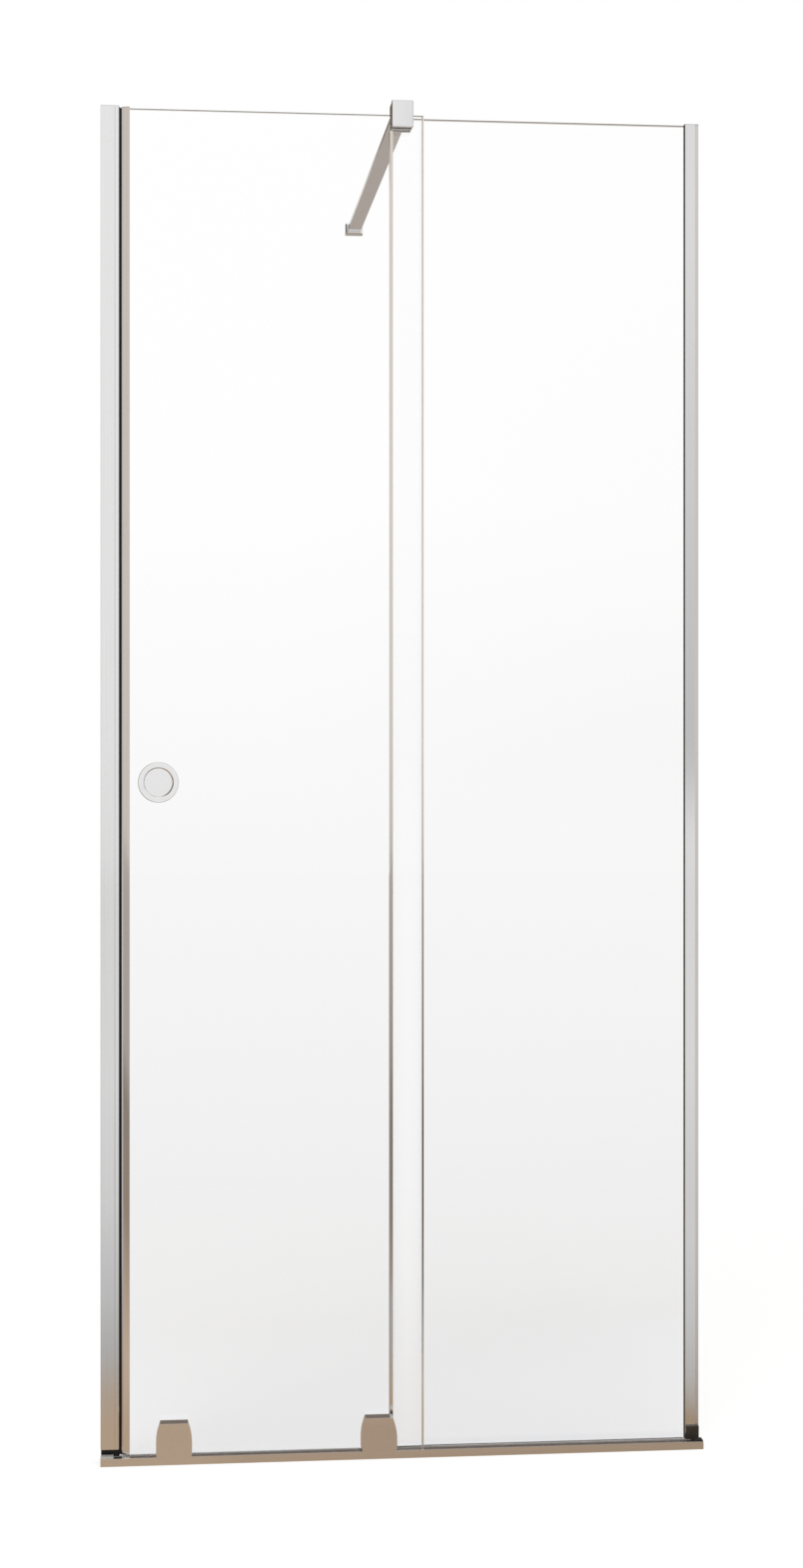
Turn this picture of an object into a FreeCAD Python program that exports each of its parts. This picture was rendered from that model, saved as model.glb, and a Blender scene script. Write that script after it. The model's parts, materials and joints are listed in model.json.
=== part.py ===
import FreeCAD, Part
import math
import os
import re
import Sketcher

# Sliding shower door with a fixed pane, in millimetres.
# X runs along the rail, Y from the room into the shower, Z up.
# The origin is the middle of the bottom rail's underside.

SIZES = {
    # Whole door
    "overall_width": 900.0,
    "overall_height": 2000.0,
    "wall_distance": 908.0,
    "glass_thickness": 6.0,
    "glass_drop": 2.0,
    "arris": 0.5,
    "fit": 0.2,
    # Bottom rail, measured back from its front face and up from its underside
    "track_height": 11.5,
    "track_depth": 16.5,
    "groove_width": 8.4,
    "groove_depth": 2.6,
    "roller_setback": 9.0,
    "rail_skin": 2.0,
    "rail_rear_wall": 4.2,
    "rail_nose": 0.2,
    "channel_wall": 2.0,
    "channel_height": 6.0,
    "rear_toe": 3.2,
    "glazing_gap": 1.8,
    "glazing_seat": 1.5,
    "gasket_rise": 0.5,
    "door_setback": 18.0,
    "fixed_setback": 38.0,
    "left_stop_length": 19.0,
    "right_stop_length": 12.0,
    "stop_head": 2.2,
    "stop_margin": 0.8,
    "end_gap": 0.5,
    # Profiles on the two walls
    "profile_skin": 1.6,
    "profile_nose": 1.5,
    "cap_thickness": 1.5,
    "cap_tenon": 8.0,
    "channel_skin": 2.0,
    "nest_gap": 0.4,
    "tenon_gap": 0.5,
    "strike_width": 27.0,
    "strike_front_reach": 12.5,
    "strike_back_reach": 15.0,
    "strike_foot": 22.7,
    "strike_groove_inset": 5.9,
    "strike_groove_width": 0.9,
    "strike_groove_depth": 0.5,
    "foot_setback": 1.0,
    "foot_tenon": 12.0,
    "strike_channel_reach": 18.0,
    "glazing_reach": 21.2,
    "wall_reveal": 5.5,
    "glass_pocket": 6.5,
    "glazing_front_reach": 4.5,
    "glazing_back_reach": 6.0,
    "rear_lip_setback": 3.0,
    "glazing_foot_depth": 5.0,
    "glazing_foot_inset": 1.9,
    "glazing_foot_top": 27.0,
    "glazing_channel_reach": 12.0,
    "gasket_thickness": 1.0,
    "gasket_lip": 1.3,
    "wall_hole": 5.2,
    "outer_hole_spacing": 1700.0,
    "inner_hole_spacing": 600.0,
    "lock_spacing": 700.0,
    "lock_inset": 9.0,
    "lock_thread": 3.2,
    "lock_head": 6.4,
    "lock_head_height": 1.8,
    "lock_length": 5.0,
    # Seal between strike profile and door
    "seal_pocket": 6.0,
    "seal_pocket_depth": 3.0,
    "seal_mouth": 3.0,
    "seal_head": 13.0,
    "seal_head_thickness": 1.7,
    "seal_slant": 1.4,
    "seal_end_gap": 1.5,
    "magnet_gap": 0.4,
    "magnet_thickness": 1.7,
    "magnet_tongue": 1.2,
    "magnet_head": 7.4,
    # Sliding pane and the profiles on its edges
    "door_width": 448.0,
    "door_bottom": 7.0,
    "closing_width": 11.7,
    "closing_web": 2.4,
    "closing_front": 4.4,
    "closing_facet": 3.6,
    "closing_ridge": 1.25,
    "closing_back": 2.1,
    "closing_lift": 0.8,
    "trailing_width": 2.2,
    "trailing_web": 1.1,
    "trailing_leg": 1.3,
    "trailing_slant": 0.6,
    "drip_leg": 0.6,
    "drip_rise": 4.0,
    "drip_web": 1.0,
    "drip_fin": 1.2,
    "drip_gap": 1.0,
    "drip_inset": 3.0,
    # Fixed pane's free edge
    "pane_overlap": 49.7,
    "strip_width": 4.6,
    "strip_web": 2.2,
    "strip_leg": 1.0,
    "strip_slant": 1.5,
    "lip_clearance": 5.5,
    "strip_end_gap": 1.0,
    # Guide clamp on the top corner
    "clamp_inset": 1.0,
    "clamp_width": 32.5,
    "clamp_drop": 22.0,
    "clamp_rise": 18.7,
    "clamp_reach": 10.0,
    "clamp_shell": 4.0,
    "clamp_shell_corner": 2.5,
    "clamp_shell_nose": 1.6,
    "clamp_step": 1.0,
    "guide_gap": 1.0,
    "guide_wall": 2.0,
    "guide_headroom": 2.0,
    "pad_thickness": 0.8,
    "pad_width": 24.0,
    "pad_height": 14.0,
    "jaw_thickness": 6.2,
    "set_screw": 5.0,
    "set_screw_spacing": 16.0,
    "set_screw_height": 12.0,
    # Support bar and its wall flange
    "bar_width": 24.0,
    "bar_height": 8.0,
    "bar_nose": 1.0,
    "bar_lift": 4.0,
    "bar_socket": 20.0,
    "bar_screw": 4.0,
    "bar_screw_inset": 8.0,
    "flange_width": 32.0,
    "flange_height": 20.0,
    "flange_depth": 17.0,
    "flange_floor": 5.0,
    "flange_bevel": 3.0,
    "flange_hole": 4.2,
    "flange_hole_spacing": 14.0,
    "flange_screw_room": 3.5,
    # Round flush pull
    "handle_inset": 53.9,
    "handle_height": 1003.5,
    "handle_hole": 50.0,
    "handle_flange": 60.0,
    "handle_flange_thickness": 2.5,
    "handle_recess": 41.4,
    "handle_recess_depth": 5.0,
    "handle_barrel": 48.0,
    "handle_floor": 1.0,
    "handle_rear_recess": 36.0,
    "handle_bevel": 0.8,
    "handle_mouth_width": 1.7,
    "handle_mouth_depth": 1.3,
    "handle_washer": 0.5,
    "handle_thread_gap": 0.1,
    # Roller carriages
    "carriage_lead": 76.8,
    "carriage_trail": 68.2,
    "carriage_width": 52.6,
    "carriage_top_width": 40.4,
    "carriage_top": 61.6,
    "carriage_shoulder": 42.0,
    "carriage_shoulder_round": 60.0,
    "carriage_corner": 4.0,
    "carriage_nose": 0.4,
    "carriage_overhang": 4.0,
    "carriage_lap": 1.0,
    "carriage_shell": 2.0,
    "carriage_slack": 0.35,
    "carriage_lift": 1.0,
    "carriage_headroom": 4.0,
    "carriage_gasket": 0.7,
    "plate_width": 44.0,
    "plate_height": 22.0,
    "plate_thickness": 3.0,
    "plate_corner": 8.0,
    "plate_gasket": 0.5,
    "plate_screw_spacing": 22.0,
    "plate_screw_height": 44.0,
    "plate_screw": 5.0,
    "plate_screw_head": 8.6,
    "plate_screw_head_height": 1.7,
    "plate_screw_grip": 11.0,
    "glass_bush": 9.6,
    # Rollers
    "roller_diameter": 18.0,
    "roller_width": 7.0,
    "roller_spacing": 26.0,
    "roller_lift": 0.3,
    "roller_room": 1.2,
    "roller_round": 1.0,
    "hub_diameter": 10.0,
    "hub_lip": 0.4,
    "axle_diameter": 5.0,
    "axle_clearance": 0.03,
}

# Places and lengths worked out from the sizes above
PLACES = {
    "left_wall": "-overall_width / 2",
    "right_wall": "overall_width / 2",
    "rail_depth": "fixed_setback + glass_thickness + glazing_gap + rail_rear_wall",
    "rail_front": "-rail_depth / 2",
    "rail_back": "rail_depth / 2",
    "track_back": "rail_front + track_depth",
    "track_floor": "track_height - groove_depth",
    "roller_plane": "rail_front + roller_setback",
    "groove_front": "roller_plane - groove_width / 2",
    "groove_back": "roller_plane + groove_width / 2",
    "door_front": "rail_front + door_setback",
    "door_back": "door_front + glass_thickness",
    "door_mid": "door_front + glass_thickness / 2",
    "fixed_front": "rail_front + fixed_setback",
    "fixed_back": "fixed_front + glass_thickness",
    "glass_top": "overall_height - glass_drop",
    "channel_front": "fixed_front - glazing_gap",
    "channel_back": "fixed_back + glazing_gap",
    "profile_top": "overall_height - cap_thickness",
    "strike_face": "left_wall + strike_width",
    "strike_front": "door_mid - strike_front_reach",
    "strike_back": "door_mid + strike_back_reach",
    "strike_web": "strike_face - profile_skin",
    "seal_floor": "strike_web - seal_pocket_depth",
    "seal_box": "seal_floor - profile_skin",
    "left_channel_front": "strike_front + profile_skin + nest_gap",
    "left_channel_back": "strike_back - profile_skin - nest_gap",
    "glazing_face": "right_wall - glazing_reach",
    "glazing_edge": "right_wall - wall_reveal",
    "glazing_front": "fixed_front - glazing_front_reach",
    "glazing_back": "fixed_back + glazing_back_reach",
    "glazing_rear_face": "glazing_face + rear_lip_setback",
    "glazing_web": "glazing_face + glass_pocket",
    "glazing_web_back": "glazing_web + profile_skin",
    "lip_front": "fixed_front - gasket_thickness - fit",
    "lip_back": "fixed_back + gasket_thickness + fit",
    "right_channel_front": "glazing_front + profile_skin + nest_gap",
    "right_channel_back": "glazing_back - profile_skin - nest_gap",
    "gasket_back": "glazing_web - fit",
    "fixed_right": "gasket_back - gasket_thickness - fit",
    "seal_end": "strike_face + seal_head_thickness",
    "magnet_start": "seal_end + magnet_gap",
    "door_start": "magnet_start + magnet_thickness",
    "door_end": "door_start + door_width",
    "closing_end": "door_start + closing_width",
    "closing_slot": "door_start + closing_web",
    "closing_face": "door_front - fit - closing_front",
    "closing_rear": "door_back + fit + closing_back",
    "closing_top": "glass_top + fit",
    "door_glass_left": "closing_slot + fit",
    "door_glass_right": "door_end - trailing_web - fit",
    "strip_left": "door_end - pane_overlap",
    "fixed_left": "strip_left + strip_web + fit",
    "clamp_left": "strip_left + clamp_inset",
    "clamp_right": "clamp_left + clamp_width",
    "clamp_middle": "clamp_left + clamp_width / 2",
    "clamp_bottom": "overall_height - clamp_drop",
    "clamp_top": "overall_height + clamp_rise",
    "clamp_front": "door_front - clamp_reach",
    "clamp_body_front": "clamp_front + clamp_shell",
    "clamp_body_bottom": "clamp_bottom + clamp_step",
    "clamp_body_top": "clamp_top - clamp_step",
    "clamp_body_left": "clamp_left + clamp_step",
    "clamp_body_right": "clamp_right - clamp_step",
    "guide_front": "door_front - guide_gap - guide_wall",
    "guide_back": "door_back + guide_gap + guide_wall",
    "guide_top": "glass_top + guide_headroom + guide_wall",
    "jaw_front": "fixed_front - pad_thickness",
    "jaw_back": "fixed_back + pad_thickness",
    "jaw_top": "glass_top + pad_thickness",
    "clamp_back": "jaw_back + jaw_thickness",
    "bar_bottom": "glass_top + bar_lift",
    "bar_top": "bar_bottom + bar_height",
    "bar_middle": "bar_bottom + bar_height / 2",
    "bar_start": "clamp_back - bar_socket",
    "wall_plane": "rail_front + wall_distance",
    "flange_front": "wall_plane - flange_depth",
    "flange_seat": "wall_plane - flange_floor",
    "bar_end": "flange_seat - flange_screw_room",
    "flange_bottom": "bar_middle - flange_height / 2",
    "handle_place": "door_start + handle_inset",
    "handle_barrel_end": "glass_thickness - handle_washer",
    "handle_rear_seat": "handle_floor_back + fit",
    "handle_floor_front": "handle_recess_depth - handle_flange_thickness - handle_washer",
    "handle_floor_back": "handle_floor_front + handle_floor",
    "handle_rear": "glass_thickness + handle_washer + handle_flange_thickness",
    "carriage_bottom": "track_height - carriage_lap",
    "carriage_front": "rail_front - carriage_overhang",
    "carriage_back": "door_front - carriage_gasket",
    "carriage_inside": "carriage_front + carriage_shell",
    "carriage_body_bottom": "track_height + carriage_lift",
    "carriage_body_top": "carriage_top - carriage_shell - carriage_headroom",
    "axle_height": "track_floor + roller_lift + roller_diameter / 2",
    "roller_pocket_top": "axle_height + roller_diameter / 2 + roller_room",
    "plate_front": "door_back + plate_gasket",
    "plate_back": "plate_front + plate_thickness",
    "plate_bore": "plate_screw / 2 + fit",
    "screw_head_back": "plate_back - fit",
}

CARRIAGE_PLACES = {
    "left": "door_start + carriage_lead",
    "right": "door_end - carriage_trail",
}
SIDES = (-1, 1)
WORD = re.compile(r"[a-z][a-z_]*")

doc = FreeCAD.newDocument("sliding_shower_door")
sheet = doc.addObject("Spreadsheet::Sheet", "Sizes")
for row, (size_name, size) in enumerate(SIZES.items(), start=1):
    sheet.set(f"A{row}", size_name)
    sheet.set(f"B{row}", str(size))
    sheet.setAlias(f"B{row}", size_name)
doc.recompute()

subparts = []


def formula(text):
    """Write a formula of size and place names as an expression on the sheet's cells."""
    def cell(match):
        word = match.group(0)
        if word in PLACES:
            return "(" + formula(PLACES[word]) + ")"
        if word in SIZES:
            return "Sizes." + word
        raise KeyError(word)
    return WORD.sub(cell, text)


def new_body(label):
    return doc.addObject("PartDesign::Body", label)


def keep(piece):
    """Count a finished object as one of the door's sub-parts."""
    subparts.append(piece)
    return piece


def place(piece, x="0", y="0", z="0"):
    for axis, text in (("x", x), ("y", y), ("z", z)):
        piece.setExpression("Placement.Base." + axis, formula(text))


def new_sketch(body, plane, offset):
    """A sketch on one of the body's own origin planes, moved along that plane's normal."""
    sketch = body.newObject("Sketcher::SketchObject", body.Name + "_sketch")
    support = [item for item in body.Origin.OriginFeatures if item.Role == plane + "_Plane"]
    sketch.AttachmentSupport = [(support[0], "")]
    sketch.MapMode = "FlatFace"
    sketch.setExpression("AttachmentOffset.Base.z", formula(offset))
    return sketch


def dimension(sketch, kind, target, start_value, text):
    """Add one driven distance from the sketch's origin, or a radius, bound to the sheet."""
    geometry, point = target
    if kind == "Radius":
        constraint = Sketcher.Constraint(kind, geometry, start_value)
    else:
        constraint = Sketcher.Constraint(kind, -1, 1, geometry, point, start_value)
    index = sketch.addConstraint(constraint)
    sketch.setExpression(f"Constraints[{index}]", formula(text))


def draw_outline(sketch, corners):
    """A closed outline of straight runs, each corner held by its two distances."""
    count = len(corners)
    starts = []
    for index in range(count):
        turn = 2 * math.pi * index / count
        starts.append(FreeCAD.Vector(math.cos(turn), math.sin(turn), 0))
    for index in range(count):
        sketch.addGeometry(Part.LineSegment(starts[index], starts[(index + 1) % count]), False)
    for index in range(count):
        sketch.addConstraint(Sketcher.Constraint("Coincident", index, 2, (index + 1) % count, 1))
    for index, (across, up) in enumerate(corners):
        dimension(sketch, "DistanceX", (index, 1), starts[index].x, across)
        dimension(sketch, "DistanceY", (index, 1), starts[index].y, up)


def draw_circles(sketch, centres, radius):
    for index, (across, up) in enumerate(centres):
        circle = Part.Circle(FreeCAD.Vector(1, 1, 0), FreeCAD.Vector(0, 0, 1), 1)
        sketch.addGeometry(circle, False)
        dimension(sketch, "Radius", (index, 0), 1, radius)
        dimension(sketch, "DistanceX", (index, 3), 1, across)
        dimension(sketch, "DistanceY", (index, 3), 1, up)


def rectangle(low, high):
    return [low, (high[0], low[1]), high, (low[0], high[1])]


def extrude(body, plane, corners, start, end):
    """Pad an outline from start to end along the plane's axis."""
    offset = f"-({end})" if plane == "XZ" else start
    sketch = new_sketch(body, plane, offset)
    draw_outline(sketch, corners)
    pad = body.newObject("PartDesign::Pad", body.Name + "_pad")
    pad.Profile = sketch
    pad.setExpression("Length", formula(f"({end}) - ({start})"))
    return sketch


def pocket(body, sketch, start, end):
    cut = body.newObject("PartDesign::Pocket", body.Name + "_pocket")
    cut.Profile = sketch
    cut.setExpression("Length", formula(f"({end}) - ({start})"))


def cut_outline(body, plane, corners, start, end):
    offset = f"-({start})" if plane == "XZ" else end
    sketch = new_sketch(body, plane, offset)
    draw_outline(sketch, corners)
    pocket(body, sketch, start, end)


def cut_holes(body, plane, centres, radius, start, end):
    offset = f"-({start})" if plane == "XZ" else end
    sketch = new_sketch(body, plane, offset)
    draw_circles(sketch, centres, radius)
    pocket(body, sketch, start, end)


def edges_along(shape, axis, spots):
    """Names of the straight edges along an axis that pass through the given spots."""
    across = [index for index in range(3) if index != axis]
    names = []
    for number, edge in enumerate(shape.Edges, start=1):
        ends = [vertex.Point for vertex in edge.Vertexes]
        if len(ends) != 2 or max(abs(ends[0][i] - ends[1][i]) for i in across) > 1e-4:
            continue
        for spot in spots:
            if max(abs(ends[0][i] - spot[k]) for k, i in enumerate(across)) < 1e-4:
                names.append(f"Edge{number}")
    return names


def edges_on_front(shape):
    """Names of the edges that lie in the shape's foremost plane."""
    front = shape.BoundBox.YMin
    names = []
    for number, edge in enumerate(shape.Edges, start=1):
        if edge.BoundBox.YMax - front < 1e-4:
            names.append(f"Edge{number}")
    return names


def dress(body, kind, size, names):
    """Round or bevel the named edges of the body's last feature."""
    base = body.Tip
    feature = body.newObject("PartDesign::" + kind, body.Name + "_" + kind.lower())
    feature.Base = (base, names)
    feature.setExpression("Radius" if kind == "Fillet" else "Size", formula(size))


def round_corners(body, sketch, axis, corners, radius):
    """Round the long edges that an outline's corners make, given by their numbers."""
    doc.recompute()
    spots = []
    for corner in corners:
        point = sketch.Geometry[corner].StartPoint
        spots.append((point.x, point.y))
    dress(body, "Fillet", radius, edges_along(body.Tip.Shape, axis, spots))


def round_front(body, radius):
    doc.recompute()
    dress(body, "Fillet", radius, edges_on_front(body.Tip.Shape))


def profile(label, plane, corners, start, end):
    """A sub-part that is one straight profile."""
    body = new_body(label)
    extrude(body, plane, corners, start, end)
    return keep(body)


def turned(label, plane, half_outline):
    """A body turned about its Y axis from the XY plane, or about Z from the XZ plane."""
    body = new_body(label)
    sketch = new_sketch(body, plane, "0")
    draw_outline(sketch, half_outline)
    turn = body.newObject("PartDesign::Revolution", body.Name + "_turn")
    turn.Profile = sketch
    turn.ReferenceAxis = (sketch, ["V_Axis"])
    turn.Angle = 360
    return body


def ring(label, inner, outer, start, end):
    """A washer, bush or sleeve about the Y axis."""
    return turned(label, "XY", rectangle((inner, start), (outer, end)))


def group(label, pieces):
    """Equal small pieces kept together as one sub-part."""
    compound = doc.addObject("Part::Compound", label)
    compound.Links = pieces
    return keep(compound)


def bottom_rail():
    """Track for the rollers, drip trough behind it and a glazing seat with a low sloping toe at the back."""
    body = new_body("bottom_rail")
    section = extrude(body, "YZ", [
        ("rail_front", "0"),
        ("rail_front", "track_height"),
        ("groove_front", "track_height"),
        ("groove_front", "track_floor"),
        ("groove_back", "track_floor"),
        ("groove_back", "track_height"),
        ("track_back", "track_height"),
        ("track_back", "rail_skin"),
        ("channel_front - channel_wall", "rail_skin"),
        ("channel_front - channel_wall", "channel_height"),
        ("channel_front", "channel_height"),
        ("channel_front", "rail_skin"),
        ("channel_back", "rail_skin"),
        ("channel_back", "rear_toe"),
        ("rail_back", "rail_skin"),
        ("rail_back", "0"),
    ], "left_wall", "right_wall")
    chamber = rectangle(("rail_front + rail_skin", "rail_skin"),
                        ("track_back - rail_skin", "track_floor - rail_skin"))
    cut_outline(body, "YZ", chamber, "left_wall", "right_wall")
    round_corners(body, section, 0, [1], "rail_nose")
    return keep(body)


def rail_stop(label, start, end):
    """End stop: a stem in the track's groove under a head that covers the track."""
    stem_front = "groove_front + fit"
    stem_back = "groove_back - fit"
    head_front = "rail_front + stop_margin + rail_nose"
    head_back = "track_back - stop_margin"
    head_top = "track_height + stop_head"
    return profile(label, "YZ", [
        (stem_front, "track_floor"),
        (stem_back, "track_floor"),
        (stem_back, "track_height"),
        (head_back, "track_height"),
        (head_back, head_top),
        (head_front, head_top),
        (head_front, "track_height"),
        (stem_front, "track_height"),
    ], start, end)


def lock_heights():
    middle = "overall_height / 2"
    return [f"{middle} + {step} * lock_spacing" for step in (-1, 0, 1)]


def wall_hole_heights():
    middle = "overall_height / 2"
    heights = []
    for spacing in ("outer_hole_spacing", "inner_hole_spacing"):
        for side in SIDES:
            heights.append(f"{middle} + {side} * {spacing} / 2")
    return heights


def left_strike_profile():
    """Open profile over the left wall channel, with a fine groove and a pocket for the strike seal."""
    body = new_body("left_strike_profile")
    back_edge = "left_wall + end_gap"
    mouth = "seal_mouth / 2"
    half = "seal_pocket / 2"
    groove = "strike_face - strike_groove_inset"
    section = extrude(body, "XY", [
        (back_edge, "strike_front"),
        (f"{groove} - strike_groove_width / 2", "strike_front"),
        (groove, "strike_front + strike_groove_depth"),
        (f"{groove} + strike_groove_width / 2", "strike_front"),
        ("strike_face", "strike_front"),
        ("strike_face", f"door_mid - {mouth}"),
        ("strike_web", f"door_mid - {mouth}"),
        ("strike_web", f"door_mid - {half}"),
        ("seal_floor", f"door_mid - {half}"),
        ("seal_floor", f"door_mid + {half}"),
        ("strike_web", f"door_mid + {half}"),
        ("strike_web", f"door_mid + {mouth}"),
        ("strike_face", f"door_mid + {mouth}"),
        ("strike_face", "strike_back"),
        (back_edge, "strike_back"),
        (back_edge, "strike_back - profile_skin"),
        ("strike_web", "strike_back - profile_skin"),
        ("strike_web", f"door_mid + {half} + profile_skin"),
        ("seal_box", f"door_mid + {half} + profile_skin"),
        ("seal_box", f"door_mid - {half} - profile_skin"),
        ("strike_web", f"door_mid - {half} - profile_skin"),
        ("strike_web", "strike_front + profile_skin"),
        (back_edge, "strike_front + profile_skin"),
    ], "strike_foot", "profile_top")
    screws = [("left_wall + lock_inset", height) for height in lock_heights()]
    cut_holes(body, "XZ", screws, "lock_thread / 2 + fit", "strike_back - profile_skin", "strike_back")
    round_corners(body, section, 2, [4], "profile_nose")
    return keep(body)


def wall_channel(label, wall, reach, front, back, bottom, inward):
    """Channel on a wall: four screw holes in its web and three in its rear leg."""
    body = new_body(label)
    web = f"{wall} + {inward} * channel_skin"
    edge = f"{wall} + {inward} * {reach}"
    extrude(body, "XY", [
        (wall, front),
        (edge, front),
        (edge, f"{front} + channel_skin"),
        (web, f"{front} + channel_skin"),
        (web, f"{back} - channel_skin"),
        (edge, f"{back} - channel_skin"),
        (edge, back),
        (wall, back),
    ], bottom, "profile_top")
    low, high = (wall, web) if inward > 0 else (web, wall)
    centre = f"({front} + {back}) / 2"
    holes = [(centre, height) for height in wall_hole_heights()]
    cut_holes(body, "YZ", holes, "wall_hole / 2", low, high)
    screws = [(f"{wall} + {inward} * lock_inset", height) for height in lock_heights()]
    cut_holes(body, "XZ", screws, "lock_thread / 2 + fit", f"{back} - channel_skin", back)
    return keep(body)


def profile_lock_screws():
    """Pan head screws that hold both wall profiles on their channels, from the shower side."""
    screws = []
    places = (("left_wall + lock_inset", "strike_back"), ("right_wall - lock_inset", "glazing_back"))
    for across, seat in places:
        for height in lock_heights():
            screw = turned("lock_screw", "XY", [
                ("0", "-lock_length"),
                ("lock_thread / 2", "-lock_length"),
                ("lock_thread / 2", "0"),
                ("lock_head / 2", "0"),
                ("lock_head / 2", "lock_head_height / 2"),
                ("lock_head / 4", "lock_head_height"),
                ("0", "lock_head_height"),
            ])
            place(screw, across, seat, height)
            screws.append(screw)
    return group("profile_lock_screws", screws)


def strike_seal():
    """Seal strip with a foot that snaps into the strike profile and a slanting face for the magnet."""
    neck = "seal_mouth / 2 - fit"
    foot = "seal_pocket / 2 - fit"
    head = "seal_head / 2"
    body = new_body("strike_seal")
    extrude(body, "XY", [
        ("seal_floor + fit", f"door_mid - ({foot})"),
        ("strike_web - fit", f"door_mid - ({foot})"),
        ("strike_web - fit", f"door_mid - ({neck})"),
        ("strike_face", f"door_mid - ({neck})"),
        ("strike_face", f"door_mid - {head}"),
        ("seal_end", f"door_mid - {head}"),
        ("seal_end + seal_slant", f"door_mid + {head}"),
        ("strike_face", f"door_mid + {head}"),
        ("strike_face", f"door_mid + ({neck})"),
        ("strike_web - fit", f"door_mid + ({neck})"),
        ("strike_web - fit", f"door_mid + ({foot})"),
        ("seal_floor + fit", f"door_mid + ({foot})"),
    ], "strike_foot", "profile_top")
    extrude(body, "XY", [
        ("strike_face", f"door_mid - {head}"),
        ("seal_end", f"door_mid - {head}"),
        ("seal_end + seal_slant", f"door_mid + {head}"),
        ("strike_face", f"door_mid + {head}"),
    ], "track_height + seal_end_gap", "strike_foot")
    return keep(body)


def left_tenon(low_y, high_y):
    """Outline of a tenon between the left channel's legs."""
    return rectangle(("left_wall + channel_skin + tenon_gap", low_y), ("seal_box - tenon_gap", high_y))


def left_profile_foot():
    """Plug that carries the strike profile on the rail and closes the gap under it."""
    body = new_body("left_profile_foot")
    front = "door_mid - foot_setback"
    back = "channel_front - channel_wall - fit"
    base = rectangle(("left_wall + end_gap", front), ("strike_face", back))
    extrude(body, "XY", base, "rail_skin", "strike_foot")
    tenon = left_tenon(f"{front} + tenon_gap", "left_channel_back - channel_skin - tenon_gap")
    extrude(body, "XY", tenon, "strike_foot", "strike_foot + foot_tenon")
    return keep(body)


def top_cap(label, outline, tenon):
    """Cap on a wall profile's top end, with a tenon inside the channel."""
    body = new_body(label)
    extrude(body, "XY", outline, "profile_top", "overall_height")
    extrude(body, "XY", tenon, "profile_top - cap_tenon", "profile_top")
    return keep(body)


def left_top_cap():
    outline = rectangle(("left_wall + end_gap", "strike_front"), ("strike_face", "strike_back"))
    tenon = left_tenon("left_channel_front + channel_skin + tenon_gap",
                       "left_channel_back - channel_skin - tenon_gap")
    return top_cap("left_top_cap", outline, tenon)


def right_top_cap():
    outline = rectangle(("glazing_face", "glazing_front"), ("right_wall", "glazing_back"))
    tenon = rectangle(("glazing_web_back + tenon_gap", "right_channel_front + channel_skin + tenon_gap"),
                      ("right_wall - channel_skin - tenon_gap",
                       "right_channel_back - channel_skin - tenon_gap"))
    return top_cap("right_top_cap", outline, tenon)


def right_glazing_profile():
    """Profile with lips for the fixed pane's gasket, nested over the right wall channel."""
    body = new_body("right_glazing_profile")
    lip_edge = "glazing_face + profile_skin"
    rear_lip_edge = "glazing_rear_face + profile_skin"
    section = extrude(body, "XY", [
        ("glazing_face", "glazing_front"),
        ("glazing_edge", "glazing_front"),
        ("glazing_edge", "glazing_front + profile_skin"),
        ("glazing_web_back", "glazing_front + profile_skin"),
        ("glazing_web_back", "glazing_back - profile_skin"),
        ("glazing_edge", "glazing_back - profile_skin"),
        ("glazing_edge", "glazing_back"),
        ("glazing_rear_face", "glazing_back"),
        ("glazing_rear_face", "lip_back"),
        (rear_lip_edge, "lip_back"),
        (rear_lip_edge, "glazing_back - profile_skin"),
        ("glazing_web", "glazing_back - profile_skin"),
        ("glazing_web", "glazing_front + profile_skin"),
        (lip_edge, "glazing_front + profile_skin"),
        (lip_edge, "lip_front"),
        ("glazing_face", "lip_front"),
    ], "channel_height", "profile_top")
    screws = [("right_wall - lock_inset", height) for height in lock_heights()]
    cut_holes(body, "XZ", screws, "lock_thread / 2 + fit", "glazing_back - profile_skin", "glazing_back")
    round_corners(body, section, 2, [0], "profile_nose / 2")
    return keep(body)


def right_profile_foot():
    """Plug in the rail's trough in front of the glazing profile, with upright edges eased."""
    body = new_body("right_profile_foot")
    outline = rectangle(("glazing_face + glazing_foot_inset", "glazing_front - glazing_foot_depth"),
                        ("right_wall - end_gap", "glazing_front"))
    base = extrude(body, "XY", outline, "rail_skin", "glazing_foot_top")
    round_corners(body, base, 2, [0, 1], "profile_nose")
    return keep(body)


def glazing_gasket():
    """Rubber channel round the fixed pane's edge in the glazing profile."""
    lip = "glazing_face - gasket_lip"
    rear_lip = "glazing_rear_face - gasket_lip"
    floor = "gasket_back - gasket_thickness"
    outer_front = "lip_front + fit / 2"
    outer_back = "lip_back - fit / 2"
    inner_front = "fixed_front - fit / 2"
    inner_back = "fixed_back + fit / 2"
    return profile("glazing_gasket", "XY", [
        (lip, outer_front),
        ("gasket_back", outer_front),
        ("gasket_back", outer_back),
        (rear_lip, outer_back),
        (rear_lip, inner_back),
        (floor, inner_back),
        (floor, inner_front),
        (lip, inner_front),
    ], "channel_height + gasket_rise + fit", "glass_top")


def bottom_glazing_gasket():
    """Rubber channel that seats the fixed pane in the rail."""
    top = "channel_height + gasket_rise"
    seat = "rail_skin + glazing_seat"
    return profile("bottom_glazing_gasket", "YZ", [
        ("channel_front + fit / 2", "rail_skin"),
        ("channel_back - fit / 2", "rail_skin"),
        ("channel_back - fit / 2", top),
        ("fixed_back + fit / 2", top),
        ("fixed_back + fit / 2", seat),
        ("fixed_front - fit / 2", seat),
        ("fixed_front - fit / 2", top),
        ("channel_front + fit / 2", top),
    ], "fixed_left", "glazing_face - gasket_lip - fit")


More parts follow.
